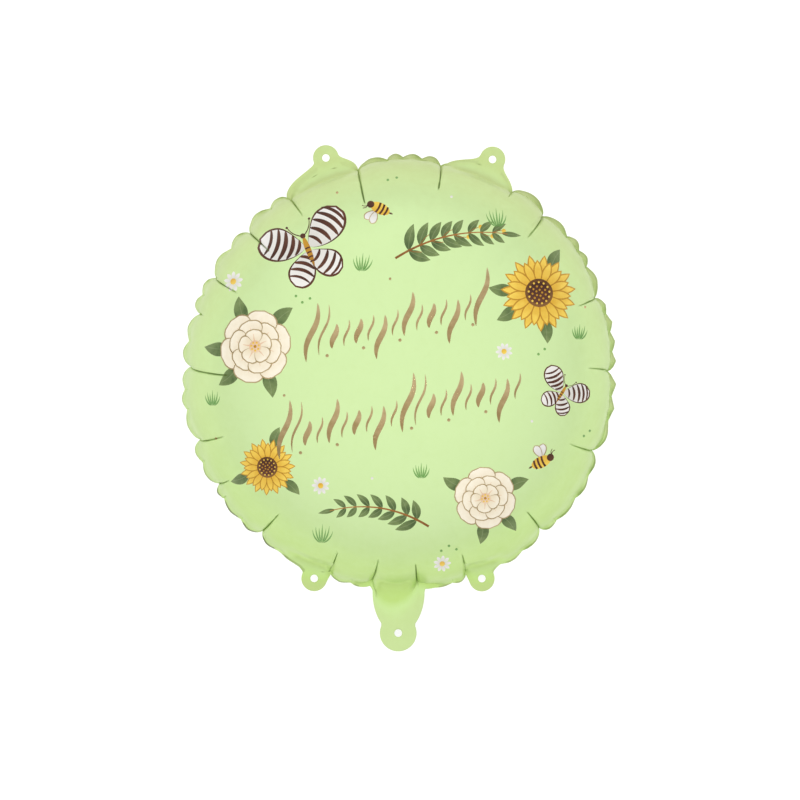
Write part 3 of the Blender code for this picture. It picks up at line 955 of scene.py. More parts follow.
def daisy():
    """A small flower 15 mm across."""
    shapes = []
    for number in range(9):
        start, end = toward(number * 40, 1.5), toward(number * 40, 7.5)
        shapes += blade("white", start, end, 1.45, fullest=1.2, bluntness=1.6, count=7)
    return shapes + dot("ochre", 0, 0, 2.3, count=12)


def butterfly():
    """A butterfly 60 mm across, its white wings barred with brown."""
    shapes = []
    wings = (
        ((1.0, -1.5), (17.5, -21.0), 9.5, ((0.20, 2.2), (0.40, 2.6), (0.60, 2.4), (0.79, 1.8))),
        ((1.2, 1.5), (29.0, 21.0), 12.0,
         ((0.17, 2.4), (0.33, 3.0), (0.50, 3.2), (0.66, 2.9), (0.81, 2.3))),
    )
    wing = {"fullest": 1.45, "bluntness": 2.1, "count": 18}
    for side in (-1, 1):
        for root, tip, width, bars in wings:
            root, tip = np.array(root) * (side, 1), np.array(tip) * (side, 1)
            bow = -0.06 * side
            shapes += blade("bark", root, tip, width, bow, **wing)
            shapes += blade("white", root, root + 0.955 * (tip - root), width - 1.3, bow, **wing)
            left = np.array((root[1] - tip[1], tip[0] - root[0])) / np.hypot(*(tip - root))
            for share, thick in bars:
                sway = 4 * bow * share * (1 - share) * np.hypot(*(tip - root))
                middle = root + share * (tip - root) + left * sway
                half = left * (width - 0.5) * math.sin(math.pi * share**1.45) ** 0.48
                ends = (middle + half, middle - half)
                shapes += blade("bark", *ends, thick / 2, 0.13 * side, bluntness=2.4, count=13)
        shapes += line("bark", (0.5 * side, 10), (8.0 * side, 19.5), 0.8, -0.12 * side, 0.7, 8)
        shapes += dot("bark", 8.3 * side, 20.0, 0.9, count=8)
    shapes += blade("ochre_edge", (0, -13), (0, 10), 2.0, fullest=1.2, bluntness=1.6, count=12)
    for height in (-9, -5.8, -2.6, 0.6):
        shapes += line("bark", (-1.7, height), (1.7, height), 1.1, 0.1, 1.0, 4)
    return shapes + dot("bark", 0, 10.0, 1.9, count=10)


def bee():
    """A striped bee 20 mm long."""
    shapes = []
    for lean in (62, 98):
        for ink, low, reach, width in (("gold", 2.5, 10.5, 3.0), ("white", 3.2, 9.9, 2.4)):
            tip = np.add((1.5, 2.5), toward(lean, reach))
            shapes += blade(ink, (1.5, low), tip, width, 0.0, 1.5, 2.2, 10)
    shapes += dot("ochre", 0, 0, 7.6, 0.55, count=22)
    for x in (-4.6, -1.5, 1.6):
        half = 4.1 * math.sqrt(1 - (x / 7.6) ** 2)
        shapes += line("bark", (x, -half), (x, half), 1.5, 0.08, 1.0, 5)
    shapes += dot("bark", 7.4, 0.3, 2.7, count=12)
    for lift in (28, 58):
        tip = np.add((8.8, 1.8), toward(lift, 4.2))
        shapes += line("bark", (8.8, 1.8), tip, 0.65, 0.15, 0.7, 5)
    return shapes + blade("bark", (-7.0, 0), (-10.2, -0.4), 0.7, count=5)


def sprig(length, pairs, bow, berries):
    """A leafy twig that grows from its left end, with berries between some of its leaves."""
    path = bowed((0, 0), (length, 0), bow, 40)
    shapes = []
    for number in range(pairs):
        share = 0.12 + 0.86 * number / pairs
        spot = path[round(39 * share)]
        ahead = path[min(39, round(39 * share) + 2)] - path[max(0, round(39 * share) - 2)]
        heading = math.degrees(math.atan2(ahead[1], ahead[0]))
        size = length * (0.235 - 0.11 * share)
        for side in (-1, 1):
            lean = heading + side * (50 - 12 * share) + 4 * math.sin(5 * number + side)
            end = spot + toward(lean, size * (1 + 0.09 * math.sin(7 * number + 2 * side)))
            shapes += leaf(spot, end, size * 0.2, 0.06 * side)
            if berries and number % 2 == (side > 0):
                x, y = spot + toward(lean - side * 24, size * 0.74)
                shapes += line("twig", spot, (x, y), 0.6, 0.08 * side, 0.8, 6)
                shapes += dot("ochre", x, y, 1.75, count=12)
    ahead = (path[-1] - path[-4]) / np.hypot(*(path[-1] - path[-4]))
    shapes += leaf(path[-3], path[-1] + 0.12 * length * ahead, length * 0.024)
    return shapes + along_path("twig", path, np.linspace(0.95, 0.3, 40))


def tuft(height, blades, lean):
    """A tuft of grass."""
    shapes = []
    for number in range(blades):
        share = number / (blades - 1) - 0.5
        top = height * (1 - 0.9 * share**2 + 0.12 * math.sin(9 * number))
        end = (1.15 * height * share + lean, top)
        shapes += blade("grass", (3.2 * share, 0), end, 0.62, -0.22 * share, 0.7, 1.2, 7)
    return shapes


def swash(ink, start, end, half_width, sway, count=20):
    """A brush stroke that sways to both sides on its way."""
    path = bowed(start, end, 0.0, count)
    share = np.linspace(0.0, 1.0, count)
    left = np.array((start[1] - end[1], end[0] - start[0]))
    path = path + left * sway * np.sin(2 * math.pi * share)[:, None]
    return along_path(ink, path, np.maximum(half_width * arch(share) ** 0.6, 0.08))


def gold_row(x, y, length, slope, strokes):
    """A slanting row of gold brush strokes: depth below the line, height above it, thickness."""
    shapes = []
    gap = length / (len(strokes) - 1)
    for number, (below, above, width) in enumerate(strokes):
        foot = number * gap - length / 2
        low, high = (foot - 0.42 * below, -below), (foot + 0.42 * above, above)
        shapes += swash("gold", low, high, width / 2, 0.05)
    for number in range(1, len(strokes) - 1, 3):
        shapes += dot("gold", (number + 0.5) * gap - length / 2, -4.5, 1.3, count=10)
    return put(shapes, x, y, slope)


def printed_picture():
    """Every printed shape in plan millimetres, later ones over earlier ones."""
    def with_leaves(flower, spot, turn, size, headings, one_leaf):
        leaves = [shape for heading in headings for shape in put(one_leaf, *spot, heading)]
        return leaves + put(flower, *spot, turn, size)

    shapes = put(sprig(90, 8, 0.09, True), -4, 86, 13)
    shapes += put(butterfly(), -72, 94, 22, 1.15)
    broad_leaf = leaf((20, 0), (40, 2), 5.0, 0.08)
    shapes += with_leaves(sunflower(), (108, 60), 8, 1.22, (-150, -84, 172, 60), broad_leaf)
    broad_leaf = leaf((20, 0), (42, -2), 5.6, 0.07)
    shapes += with_leaves(blossom(), (-113, 18), 15, 1.16, (48, 112, 228, 292, 182), broad_leaf)
    shapes += put(butterfly(), 126, -18, -32, 0.66)
    broad_leaf = leaf((16, 0), (33, 1), 4.2, 0.08)
    shapes += with_leaves(sunflower(), (-104, -76), 3, 0.90, (70, 200, 318), broad_leaf)
    shapes += put(sprig(78, 7, -0.11, False), 22, -122, 171)
    broad_leaf = leaf((18, 0), (37, 2), 4.8, 0.08)
    shapes += with_leaves(blossom(), (66, -100), 40, 1.0, (20, 150, 262, 310), broad_leaf)
    shapes += put(bee(), -16, 126, 152, 1.1)
    shapes += put(bee(), 110, -72, 24, 1.1)
    for x, y, turn, size in (
        (-132, 70, 10, 1.1), (80, 14, 25, 0.9), (33, -153, 5, 0.95), (-62, -90, 18, 0.95),
    ):
        shapes += put(daisy(), x, y, turn, size)
    for x, y, height, lean in (
        (-30, 76, 13, 1), (76, 112, 14, -1), (-148, -28, 11, 0), (-62, -136, 14, 1),
        (16, -84, 11, 0), (140, 24, 11, 1),
    ):
        shapes += put(tuft(height, 7, lean), x, y)
    for ink, spots in (
        ("gold", ((-8, 70), (146, 50), (-90, -20))),
        ("white", ((102, -40), (-22, -84))),
        ("gold", ((-146, -54),)),
        ("white", ((40, 136),)),
        ("gold", ((-50, 140),)),
        ("grass", ((-76, 52), (-70, 55), (-81, 57), (38, -138), (44, -141), (32, -142), (150, -48),
                   (145, -52), (-10, 150), (-3, 152), (112, 16), (107, 12))),
    ):
        for x, y in spots:
            shapes += dot(ink, x, y, 1.1, count=8)
    thick, fine = 4.5, 1.9
    tall, short = (6, 37, thick), (0, 18, thick)
    deep, high = (15, 17, thick), (2, 30, thick)
    thin, long_thin = (0, 19, fine), (3, 34, fine)
    shapes += gold_row(-6, 26, 134, 12.0, (
        tall, long_thin, short, thin, short, thin, deep, thin, high, thin,
        short, thin, deep, thin, tall,
    ))
    shapes += gold_row(-2, -43, 186, 12.5, (
        tall, long_thin, short, thin, high, thin, short, thin, deep, thin, tall,
        long_thin, short, thin, high, thin, short, thin, deep, thin,
    ))
    return shapes


# Materials

# Each ink's deep and light colour, how mottled it is, how much metal shows through, its roughness
INKS = {
    "ochre": ((0.66, 0.36, 0.030), (0.84, 0.60, 0.10), 0.35, 0.10, 0.42),
    "ochre_edge": ((0.36, 0.16, 0.015), (0.55, 0.29, 0.03), 0.25, 0.10, 0.42),
    "seed": ((0.10, 0.040, 0.012), (0.22, 0.10, 0.03), 0.35, 0.05, 0.45),
    "bark": ((0.055, 0.018, 0.010), (0.11, 0.040, 0.022), 0.3, 0.05, 0.45),
    "cream": ((0.76, 0.64, 0.44), (0.90, 0.83, 0.68), 0.25, 0.15, 0.42),
    "blush": ((0.70, 0.46, 0.30), (0.80, 0.60, 0.42), 0.25, 0.15, 0.42),
    "white": ((0.64, 0.62, 0.57), (0.82, 0.80, 0.77), 0.12, 0.15, 0.40),
    "leaf": ((0.070, 0.115, 0.040), (0.20, 0.27, 0.10), 0.55, 0.12, 0.42),
    "vein": ((0.13, 0.18, 0.07), (0.26, 0.32, 0.15), 0.3, 0.12, 0.42),
    "twig": ((0.22, 0.09, 0.020), (0.42, 0.19, 0.05), 0.4, 0.12, 0.42),
    "grass": ((0.13, 0.30, 0.075), (0.24, 0.45, 0.14), 0.3, 0.15, 0.42),
    "gold": ((0.42, 0.29, 0.125), (0.66, 0.50, 0.27), 0.5, 0.85, 0.30),
}


def add_node(tree, kind, inputs=(), **settings):
    """A node with its settings, and its inputs set to values or linked to sockets."""
    node = tree.nodes.new(kind)
    for name, value in settings.items():
        setattr(node, name, value)
    for name, value in dict(inputs).items():
        if isinstance(value, bpy.types.NodeSocket):
            tree.links.new(value, node.inputs[name])
        else:
            node.inputs[name].default_value = value
    return node


def reckoned(tree, operation, *terms, **settings):
    """The result of a Math node on numbers and sockets."""
    inputs = dict(enumerate(terms))
    return add_node(tree, "ShaderNodeMath", inputs, operation=operation, **settings).outputs[0]


def ranged(tree, value, before, after):
    """A value brought from one range to another."""
    return add_node(tree, "ShaderNodeMapRange", {
        "Value": value, "From Min": before[0], "From Max": before[1],
        "To Min": after[0], "To Max": after[1],
    }).outputs[0]


def mixed(tree, share, first, second):
    """A colour between two, by a share from 0 to 1."""
    inputs = {0: share, 6: first, 7: second}
    return add_node(tree, "ShaderNodeMix", inputs, data_type="RGBA").outputs[2]


def noise(tree, scale, detail, roughness=0.5):
    """Noise fixed to the object, from 0 to 1."""
    place = add_node(tree, "ShaderNodeTexCoord").outputs["Object"]
    return add_node(tree, "ShaderNodeTexNoise", {
        "Vector": place, "Scale": scale, "Detail": detail, "Roughness": roughness,
    }).outputs["Fac"]


def marked(tree, name):
    """The value that the mesh carries under a name."""
    return add_node(tree, "ShaderNodeAttribute", attribute_name=name).outputs["Fac"]


def opaque(tint):
    return (*tint, 1.0)


def new_group(name, inputs, outputs):
    """An empty shader node group with named sockets, and its input and output nodes."""
    group = bpy.data.node_groups.new(name, "ShaderNodeTree")
    for label, kind in inputs:
        group.interface.new_socket(name=label, in_out="INPUT", socket_type=kind)
    for label, kind in outputs:
        group.interface.new_socket(name=label, in_out="OUTPUT", socket_type=kind)
    return group, group.nodes.new("NodeGroupInput"), group.nodes.new("NodeGroupOutput")


def wash_group():
    """Ink laid on in a wash: it runs from deep to light along a shape and is mottled."""
    group, given, made = new_group(
        "ink_wash",
        (("Deep", "NodeSocketColor"), ("Light", "NodeSocketColor"), ("Tone", "NodeSocketFloat"),
         ("Mottle", "NodeSocketFloat"), ("Scale", "NodeSocketFloat")),
        (("Colour", "NodeSocketColor"),),
    )
    values = given.outputs
    centred = reckoned(group, "SUBTRACT", noise(group, values["Scale"], 4.0, 0.6), 0.5)
    swing = reckoned(group, "MULTIPLY", centred, 3.0)
    terms = (swing, values["Mottle"], values["Tone"])
    tone = reckoned(group, "MULTIPLY_ADD", *terms, use_clamp=True)
    wash = mixed(group, tone, values["Deep"], values["Light"])
    group.links.new(wash, made.inputs["Colour"])
    return group


def painted_shade_group():
    """Painted shade over the ink: darker in the creases and dents, the weld's greyer green with its
    painted facet shade, and a dark line along the cut edges.
    """
    # Each layer's mark on the mesh, its colour, the mark at which it is full, and how full it is
    layers = (
        ("crease", "Crease Colour", 0.75, 0.82),
        ("weld", "Weld Colour", 1.0, 1.0),
        ("cut_edge_shade", "Edge Colour", 0.80, 0.90),
    )
    group, given, made = new_group(
        "painted_crease_weld_edge_shade",
        (("Colour", "NodeSocketColor"), *((label, "NodeSocketColor") for _, label, _, _ in layers)),
        (("Colour", "NodeSocketColor"),),
    )
    shown = given.outputs["Colour"]
    for name, label, full, most in layers:
        share = ranged(group, marked(group, name), (0.0, full), (0.0, most))
        shown = mixed(group, share, shown, given.outputs[label])
    group.links.new(shown, made.inputs["Colour"])
    return group


def relief_group():
    """Fine unevenness of thin taut film: its height, and how much it roughens the gloss."""
    group, given, made = new_group(
        "film_relief",
        (("Gloss", "NodeSocketFloat"),),
        (("Height", "NodeSocketFloat"), ("Roughness", "NodeSocketFloat")),
    )
    broad = noise(group, 55.0, 2.0, 0.45)
    fine = reckoned(group, "MULTIPLY", noise(group, 900.0, 2.0), 0.03)
    swing = ranged(group, broad, (0.3, 0.7), (-0.05, 0.05))
    group.links.new(reckoned(group, "ADD", broad, fine), made.inputs["Height"])
    rough = reckoned(group, "ADD", given.outputs["Gloss"], swing)
    group.links.new(rough, made.inputs["Roughness"])
    return group


def placed_group(tree, name, maker, inputs):
    """A node that uses a shared group, which is made the first time."""
    group = bpy.data.node_groups.get(name) or maker()
    return add_node(tree, "ShaderNodeGroup", inputs, node_tree=group)


def upper_to_lower(tree, upper, lower):
    """A colour that turns from one to the other down the picture."""
    place = add_node(tree, "ShaderNodeTexCoord").outputs["Object"]
    along = add_node(tree, "ShaderNodeSeparateXYZ", {0: place}).outputs[1]
    share = ranged(tree, along, (0.12, -0.12), (0.0, 1.0))
    return mixed(tree, share, opaque(upper), opaque(lower))


def film_material(name, deep, light, mottle, metallic, roughness, look):
    """Printed metallised film: a wash of ink under a satin surface."""
    material = bpy.data.materials.new(name)
    material.use_nodes = True
    tree = material.node_tree
    shader = tree.nodes["Principled BSDF"]
    wash = placed_group(tree, "ink_wash", wash_group, {
        "Deep": opaque(deep), "Light": opaque(light), "Mottle": mottle,
        "Scale": look.mottle_scale, "Tone": marked(tree, "tone"),
    })
    # Painted shade is laid over the wash here
    shade_layers = placed_group(tree, "painted_crease_weld_edge_shade", painted_shade_group, {
        "Colour": wash.outputs["Colour"], "Crease Colour": opaque(look.crease_shade_colour),
        "Weld Colour": opaque(look.weld_tint_and_shade_colour), "Edge Colour": opaque(look.edge_shade_colour),
    })
    relief = placed_group(tree, "film_relief", relief_group, {"Gloss": roughness})
    tree.links.new(shade_layers.outputs["Colour"], shader.inputs["Base Color"])
    tree.links.new(relief.outputs["Roughness"], shader.inputs["Roughness"])
    bump = add_node(tree, "ShaderNodeBump", {
        "Height": relief.outputs["Height"], "Strength": 0.35, "Distance": 0.0008,
    })
    tree.links.new(bump.outputs["Normal"], shader.inputs["Normal"])
    shader.inputs["Metallic"].default_value = metallic
    shader.inputs["Specular IOR Level"].default_value = look.film_sheen
    return material


def plain_film(look):
    finish = (look.film_mottle, look.film_metal, look.film_roughness)
    material = film_material("green_film", look.film_upper_shade, look.film_light, *finish, look)
    tree = material.node_tree
    wash = next(node for node in tree.nodes if node.type == "GROUP" and "Deep" in node.inputs)
    # The rim's painted shade: olive towards the top of the picture, more saturated towards the neck
    tree.links.new(upper_to_lower(tree, look.film_upper_shade, look.film_lower_shade), wash.inputs["Deep"])
    return material


def ink_materials(look):
    """One material for each ink, in the order of INKS."""
    return [film_material(f"ink_{name}", *values, look) for name, values in INKS.items()]


# Pieces

def edge_shade_marks(film):
    """Painted shade along the cut edge: a dark line, most at the lower left, broken at every notch.
    """
    distance, angle = polar(film)
    across, _, _ = place_between(angle, notch_angles())
    broken = smooth(EDGE_BREAK[0] * np.sin(math.pi * across) - EDGE_BREAK[1])
    broken *= 1 - EDGE_AT_TABS * beside_tabs(angle, EDGE_STEEPNESS)
    beyond = np.minimum(distance - FILM_RADIUS, WELD_WIDTH)
    from_edge = weld_shown(angle) * (WELD_WIDTH - beyond)
    broken *= smooth(1.6 - from_edge / EDGE_LINE) * smooth(1 + beyond / WELD_SHADE_STEP)
    band = round_rim(np.degrees(angle), EDGE_DARKNESS) * broken
    return np.where(gathered(angle) > 0.5, band * (distance < FILM_RADIUS + 1.4 * WELD_WIDTH), 0.0)


def weld_tint_and_shade(film):
    """How near the green is to the weld's greyer green, laid on partly as painted shade: most on
    the right, facet by facet, and over the lower tabs and the neck.
    """
    distance, angle = polar(film)
    across, _, index = place_between(angle, notch_angles())
    shown = np.clip(1.25 * round_rim(np.degrees(angle), WELD_SHOWN) - 0.1, WELD_LEAST_SHADE, 1.0)
    facet = np.where(across > 0.5, FACET_SHADES[1], FACET_SHADES[0]) - FACET_CHANGE * (index % 2)
    band = smooth((distance - FILM_RADIUS) / WELD_SHADE_STEP + 0.5) * gathered(angle)
    band *= 1 - WELD_AT_TABS * beside_tabs(angle, WELD_STEEPNESS)
    grey = TAB_GREYNESS + (NECK_GREYNESS - TAB_GREYNESS) * over_neck(angle)
    grey *= smooth((distance - FILM_RADIUS - WELD_WIDTH) / TAB_FADE) * smooth(-2 * np.sin(angle))
    return np.maximum(band * facet * shown, grey)


def painted_film_shade(film):
    """Lightness of the plain film, as painted shade: it deepens towards the weld and the tabs, with
    painted light at the tabs' roots.
    """
    distance, angle = polar(film)
    run = FILM_RADIUS - distance
    rim = smooth((distance / FILM_RADIUS - DEEPENING[0]) / DEEPENING[1])
    deep = rim * (SIDE_DEEPNESS + TOP_DEEPNESS * np.abs(np.sin(angle)))
    root = np.exp(-(((run - EVENING_MIDDLE) / ROOT_LIGHT_RUN) ** 2))
    deep *= 1 - ROOT_LIGHTNESS * beside_tabs(angle, ROOT_STEEPNESS) * root
    neck = over_neck(angle)
    beyond = smooth((-run - WELD_WIDTH) / TAB_FADE)
    beyond += (smooth(NECK_FADE_START - run / NECK_FADE) - beyond) * neck
    tab = 1 - UPPER_TAB_LIGHTNESS * np.maximum(np.sin(angle), 0.0)
    return 1 - deep - (tab + (NECK_DEEPNESS - tab) * neck - deep) * beyond


def soften_shading(mesh, film, triangles, side):
    """Shades the film as if it lay flat where it leaves the tabs and the neck."""
    distance, angle = polar(film)
    share = np.zeros(len(film))
    for roots, (most, end, fade, lower) in ((TABS, TAB_SOFTNESS), (NECK_ROOT, NECK_SOFTNESS)):
        soft = most * (1 - lower + lower * np.sin(angle))
        soft *= beside_tabs(angle, ROOT_STEEPNESS, roots)
        share = np.maximum(share, soft * smooth((end - (FILM_RADIUS - distance)) / fade))
    normals = np.empty(3 * len(mesh.loops), np.float32)
    mesh.corner_normals.foreach_get("vector", normals)
    normals = normals.reshape(-1, 3)
    film_corners = slice(0, triangles.size)
    share = share[triangles.ravel(), None]
    normals[film_corners] = normals[film_corners] * (1 - share) + share * (0.0, 0.0, side)
    normals /= np.linalg.norm(normals, axis=1)[:, None]
    mesh.normals_split_custom_set(normals.tolist())


def film_mesh(name, film, triangles, side, look):
    """Mesh of one blown-up film, with the cut edge down to the middle of the weld."""
    places, crease = blown_up(film, side, look)
    places = evened(places, film, triangles)
    if side > 0:
        distance, angle = polar(film)
        depth, shade = dents(angle, FILM_RADIUS - distance)
        places[:, 2] -= depth
        # The dents' painted shade joins that of the creases
        crease = np.maximum(crease, shade)
    else:
        triangles = triangles[:, ::-1]
    edges = open_edges(triangles)
    edge_spots = sorted({spot for edge in edges for spot in edge})
    below = {spot: len(places) + number for number, spot in enumerate(edge_spots)}
    lower = places[edge_spots] - (0.0, 0.0, side * WELD_THICKNESS / 2)
    faces = triangles.tolist() + [(b, a, below[a], below[b]) for a, b in edges]
    mesh = bpy.data.meshes.new(name)
    mesh.from_pydata(np.vstack((places, lower)).tolist(), [], faces)
    # Painted shade for the material: creases and dents, the weld's tint and shade, and the cut
    # edges
    cut_edge_shade = edge_shade_marks(film)
    cut_edge_shade[edge_spots] = np.maximum(cut_edge_shade[edge_spots], TAB_EDGE_DARKNESS)
    for label, values in (("crease", crease), ("weld", weld_tint_and_shade(film)), ("cut_edge_shade", cut_edge_shade)):
        values = np.concatenate((values, values[edge_spots]))
        mesh.attributes.new(label, "FLOAT", "POINT").data.foreach_set("value", values)
    mesh.shade_smooth()
    mesh.set_sharp_from_angle(angle=math.radians(SHARP_ANGLE))
    soften_shading(mesh, film, triangles, side)
    return mesh


def set_print(mesh, film, triangles, shapes):
    """Gives each triangle the ink of the last shape that covers it, and its tone there."""
    inks = list(INKS)
    middles = film[triangles].mean(axis=1)
    index = np.zeros(len(mesh.polygons), np.int32)
    tone = np.full(len(mesh.loops), 0.5)
    corners = film[triangles]
    # Every triangle first gets the plain film's painted shade; inked ones are overwritten below
    tone[:3 * len(triangles)] = painted_film_shade(corners).ravel()
    for ink, outline, start, end in shapes:
        inside = np.flatnonzero(within(middles, outline))
        index[inside] = inks.index(ink) + 1
        along = (end - start) / np.dot(end - start, end - start)
        shares = np.clip((corners[inside] - start) @ along, 0.0, 1.0)
        for corner in range(3):
            tone[3 * inside + corner] = shares[:, corner]
    mesh.polygons.foreach_set("material_index", index)
    mesh.attributes.new("tone", "FLOAT", "CORNER").data.foreach_set("value", tone)


def add_piece(name, mesh, materials):
    """Puts a film in the scene in place of the plain solid."""
    for material in materials:
        mesh.materials.append(material)
    piece = bpy.data.objects.new(name, mesh)
    bpy.context.scene.collection.objects.link(piece)
    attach(piece, "root")
    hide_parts("foil_balloon")
    return piece


def laid_on_film(shapes, look):
    """The shapes with their plan millimetres turned into spots of the flat film."""
    tables = [np.vstack((outline, start, end)) / 1000 for _, outline, start, end in shapes]
    film = film_spots(np.vstack(tables), look)
    ends = np.cumsum([len(table) for table in tables])
    parts = np.split(film, ends[:-1])
    return [(shape[0], part[:-2], part[-2], part[-1]) for shape, part in zip(shapes, parts)]


def build_film(name, side, spacing, shapes, inks, look):
    """One film of the balloon with its shapes printed on it: side 1 is the front, -1 the back."""
    film, triangles = cut_film(side, spacing, [shape[1] for shape in shapes], look)
    mesh = film_mesh(name, film, triangles, side, look)
    set_print(mesh, film, triangles[:, ::side], shapes)
    return add_piece(name, mesh, [plain_film(look), *inks])


def build_front(look):
    shapes = laid_on_film(printed_picture(), look)
    return build_film("front_film", 1, FRONT_SPACING, shapes, ink_materials(look), look)


def build_back(look):
    return build_film("back_film", -1, BACK_SPACING, [], [], look)


# Stage

def build_floor(stage):
    """A wide round floor of pale matt paper, lit evenly from below."""
    count = 96
    angle = np.arange(count) * 2 * math.pi / count
    spots = [(0.0, 0.0, 0.0)]
    faces = []
    for number, radius in enumerate((0.5, 1.5, 4.0, 10.0)):
        spots += [(radius * math.cos(a), radius * math.sin(a), 0.0) for a in angle]
        first = 1 + count * number
        for a in range(count):
            b = (a + 1) % count
            inner = (first - count + a, first - count + b) if number else (0,)
            faces.append((inner[0], first + a, first + b, *inner[1:]))
    mesh = bpy.data.meshes.new("floor")
    mesh.from_pydata(spots, [], faces)
    material = bpy.data.materials.new("pale_paper")
    material.use_nodes = True
    tree = material.node_tree
    shader = tree.nodes["Principled BSDF"]
    darker = [0.985 * part for part in stage.floor_colour]
    paper = mixed(tree, noise(tree, 240.0, 3.0), opaque(darker), opaque(stage.floor_colour))
    tree.links.new(paper, shader.inputs["Base Color"])
    tree.links.new(paper, shader.inputs["Emission Color"])
    shader.inputs["Emission Strength"].default_value = stage.floor_glow
    shader.inputs["Roughness"].default_value = 0.9
    mesh.materials.append(material)
    floor = bpy.data.objects.new("floor", mesh)
    bpy.context.scene.collection.objects.link(floor)


def build_lights(stage):
    """An even pale dome, a wide panel beyond the top of the picture, and a soft lamp above."""
    world = bpy.data.worlds.new("pale_dome")
    world.use_nodes = True
    tree = world.node_tree
    dome = tree.nodes["Background"]
    dome.inputs["Color"].default_value = (1.0, 1.0, 0.99, 1.0)
    heading = add_node(tree, "ShaderNodeTexCoord").outputs["Generated"]
    height = add_node(tree, "ShaderNodeSeparateXYZ", {0: heading}).outputs[2]
    level = ranged(tree, height, (0.0, 1.0), (stage.horizon_strength, stage.dome_strength))
    tree.links.new(level, dome.inputs["Strength"])
    bpy.context.scene.world = world
    sun = bpy.data.lights.new("soft_lamp", "SUN")
    sun.energy = stage.lamp_strength
    sun.angle = math.radians(12)
    lamp = bpy.data.objects.new("soft_lamp", sun)
    lamp.rotation_euler = (math.radians(-2), math.radians(-1), 0.0)
    lamp.visible_glossy = False
    bpy.context.scene.collection.objects.link(lamp)
    panel = bpy.data.lights.new("wide_panel", "AREA")
    panel.shape = "RECTANGLE"
    panel.size, panel.size_y = 2.4, 1.2
    panel.energy = stage.panel_power
    box = bpy.data.objects.new("wide_panel", panel)
    box.location = (-0.5, 1.9, 1.6)
    box.rotation_euler = (Vector((0, 0, 0.1)) - box.location).to_track_quat("-Z", "Y").to_euler()
    bpy.context.scene.collection.objects.link(box)


def build_camera(stage):
    """The photograph's view, straight down with the neck at the bottom."""
    lens = bpy.data.cameras.new("camera")
    lens.lens = stage.lens
    lens.sensor_width = 36.0
    camera = bpy.data.objects.new("camera", lens)
    camera.location = (stage.camera_across, stage.camera_up, RIM_HEIGHT + stage.camera_distance)
    bpy.context.scene.collection.objects.link(camera)
    bpy.context.scene.camera = camera


# Settings, operators and panel

def colour(name, description, default):
    return bpy.props.FloatVectorProperty(
        name=name, description=description, default=default, size=3, min=0.0, max=1.0,
        subtype="COLOR",
    )


def length(name, description, default, top):
    return bpy.props.FloatProperty(
        name=name, description=description, default=default, min=0.0, max=top,
        subtype="DISTANCE", unit="LENGTH", precision=5,
    )


def share(name, description, default, top=1.0):
    return bpy.props.FloatProperty(
        name=name, description=description, default=default, min=0.0, max=top, subtype="FACTOR",
    )


class BalloonLook(bpy.types.PropertyGroup):
    """Sizes and colours of the film"""

    crease_depth: length("Crease depth", "Depth of the sharp line in each deep fold", 0.0016, 0.006)
    gather_height: length("Gather height", "Height of the fine gathers by the weld", 0.00012, 0.001)
    band_tilt: length("Weld tilt", "How far the facets of the weld tilt at its edge", 0.0013, 0.003)
    tab_curl: length("Tab curl", "How far the tabs and the neck wave", 0.0003, 0.001)
    film_light: colour("Film, light", "Lighter green of the film", (0.635, 0.825, 0.405))
    # The deep ends of the film's painted shade, towards the top and towards the neck
    film_upper_shade: colour("Film, upper rim", "Deeper green near the upper rim", (0.53, 0.635, 0.255))
    film_lower_shade: colour("Film, lower rim", "Deeper green near the neck", (0.515, 0.715, 0.215))
    # Painted shade: the colours laid into the creases and dents, over the weld and along the cut
    # edges
    crease_shade_colour: colour("Crease", "Green at the bottom of the creases", (0.16, 0.24, 0.05))
    weld_tint_and_shade_colour: colour("Weld", "Green of the pressed weld", (0.52, 0.585, 0.29))
    edge_shade_colour: colour("Cut edge", "Film along the cut edges", (0.13, 0.16, 0.06))
    film_metal: share("Metal", "How much the metal shows through the green print", 0.30)
    film_roughness: share("Roughness", "Roughness of the green film", 0.42)
    film_sheen: share("Sheen", "How strongly the clear surface reflects", 0.3)
    film_mottle: share("Mottle", "How mottled the green film is", 0.12)
    mottle_scale: bpy.props.FloatProperty(
        name="Mottle scale", description="How many mottles of the inks to a metre",
        default=160.0, min=1.0,
    )


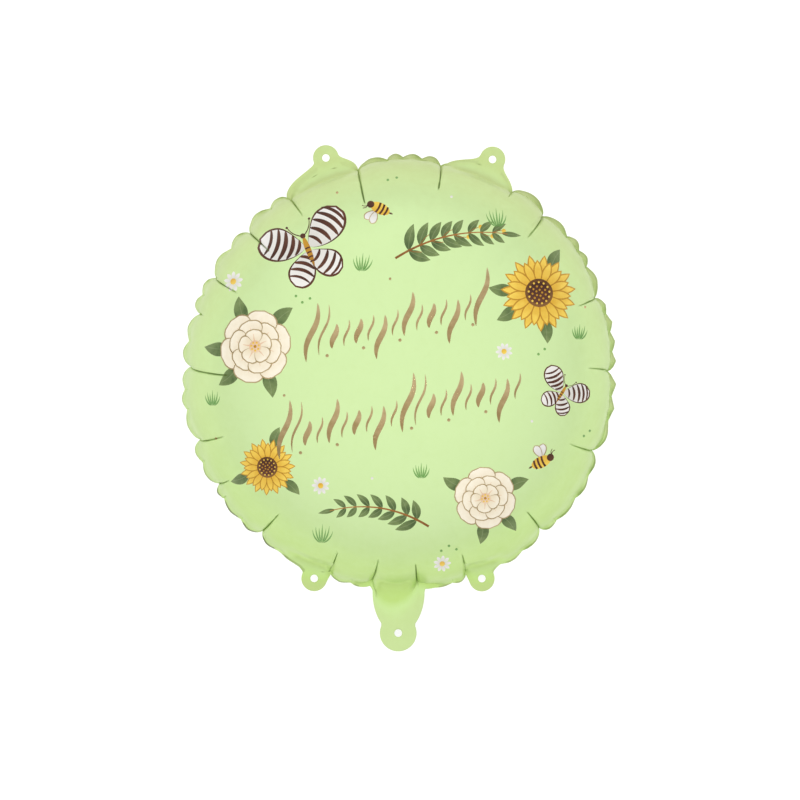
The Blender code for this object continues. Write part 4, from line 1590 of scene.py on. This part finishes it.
class BalloonStage(bpy.types.PropertyGroup):
    """Floor, light and camera"""

    floor_colour: colour("Floor", "Colour of the paper floor", (0.35, 0.35, 0.348))
    floor_glow: share("Floor glow", "Light that comes through the floor", 2.07, 4.0)
    dome_strength: share("Dome", "Strength of the dome's light from straight above", 0.81, 4.0)
    horizon_strength: share("Horizon", "Strength of the dome's light from the sides", 0.30, 4.0)
    lamp_strength: share("Lamp", "Strength of the soft lamp above", 1.8, 10.0)
    panel_power: bpy.props.FloatProperty(
        name="Panel", description="Power of the wide panel", default=3.0, min=0.0, unit="POWER",
    )
    lens: bpy.props.FloatProperty(
        name="Lens", description="Focal length of the lens",
        default=100.0, min=10.0, subtype="DISTANCE_CAMERA",
    )
    camera_distance: length("Camera distance", "From the camera down to the rim", 1.804, 10.0)
    camera_across: bpy.props.FloatProperty(
        name="Camera across", description="Camera's place from side to side",
        default=-0.0004, unit="LENGTH",
    )
    camera_up: bpy.props.FloatProperty(
        name="Camera up", description="Camera's place up and down the picture",
        default=-0.0235, unit="LENGTH",
    )


class BALLOON_OT_front_film(bpy.types.Operator):
    """Make the printed front film"""

    bl_idname = "balloon.front_film"
    bl_label = "Front film"

    def execute(self, context):
        build_front(context.scene.balloon_look)
        return {"FINISHED"}


class BALLOON_OT_back_film(bpy.types.Operator):
    """Make the plain back film"""

    bl_idname = "balloon.back_film"
    bl_label = "Back film"

    def execute(self, context):
        build_back(context.scene.balloon_look)
        return {"FINISHED"}


class BALLOON_OT_stage(bpy.types.Operator):
    """Make the floor, the lights and the camera"""

    bl_idname = "balloon.stage"
    bl_label = "Stage"

    def execute(self, context):
        stage = context.scene.balloon_stage
        build_floor(stage)
        build_lights(stage)
        build_camera(stage)
        context.scene.view_settings.view_transform = "Standard"
        return {"FINISHED"}


class BALLOON_PT_panel(bpy.types.Panel):
    """The balloon's settings, and a button for each of its pieces"""

    bl_idname = "BALLOON_PT_panel"
    bl_label = "Foil balloon"
    bl_space_type = "VIEW_3D"
    bl_region_type = "UI"
    bl_category = "Balloon"

    def draw(self, context):
        for settings, operators in (
            (context.scene.balloon_look, ("balloon.front_film", "balloon.back_film")),
            (context.scene.balloon_stage, ("balloon.stage",)),
        ):
            for name in settings.__annotations__:
                self.layout.prop(settings, name)
            for name in operators:
                self.layout.operator(name)


CLASSES = (
    BalloonLook,
    BalloonStage,
    BALLOON_OT_front_film,
    BALLOON_OT_back_film,
    BALLOON_OT_stage,
    BALLOON_PT_panel,
)


def register():
    for kind in CLASSES:
        bpy.utils.register_class(kind)
    bpy.types.Scene.balloon_look = bpy.props.PointerProperty(type=BalloonLook)
    bpy.types.Scene.balloon_stage = bpy.props.PointerProperty(type=BalloonStage)


def unregister():
    del bpy.types.Scene.balloon_stage
    del bpy.types.Scene.balloon_look
    for kind in reversed(CLASSES):
        bpy.utils.unregister_class(kind)


def main():
    register()
    bpy.ops.balloon.front_film()
    bpy.ops.balloon.back_film()
    bpy.ops.balloon.stage()


if __name__ == "__main__":
    main()
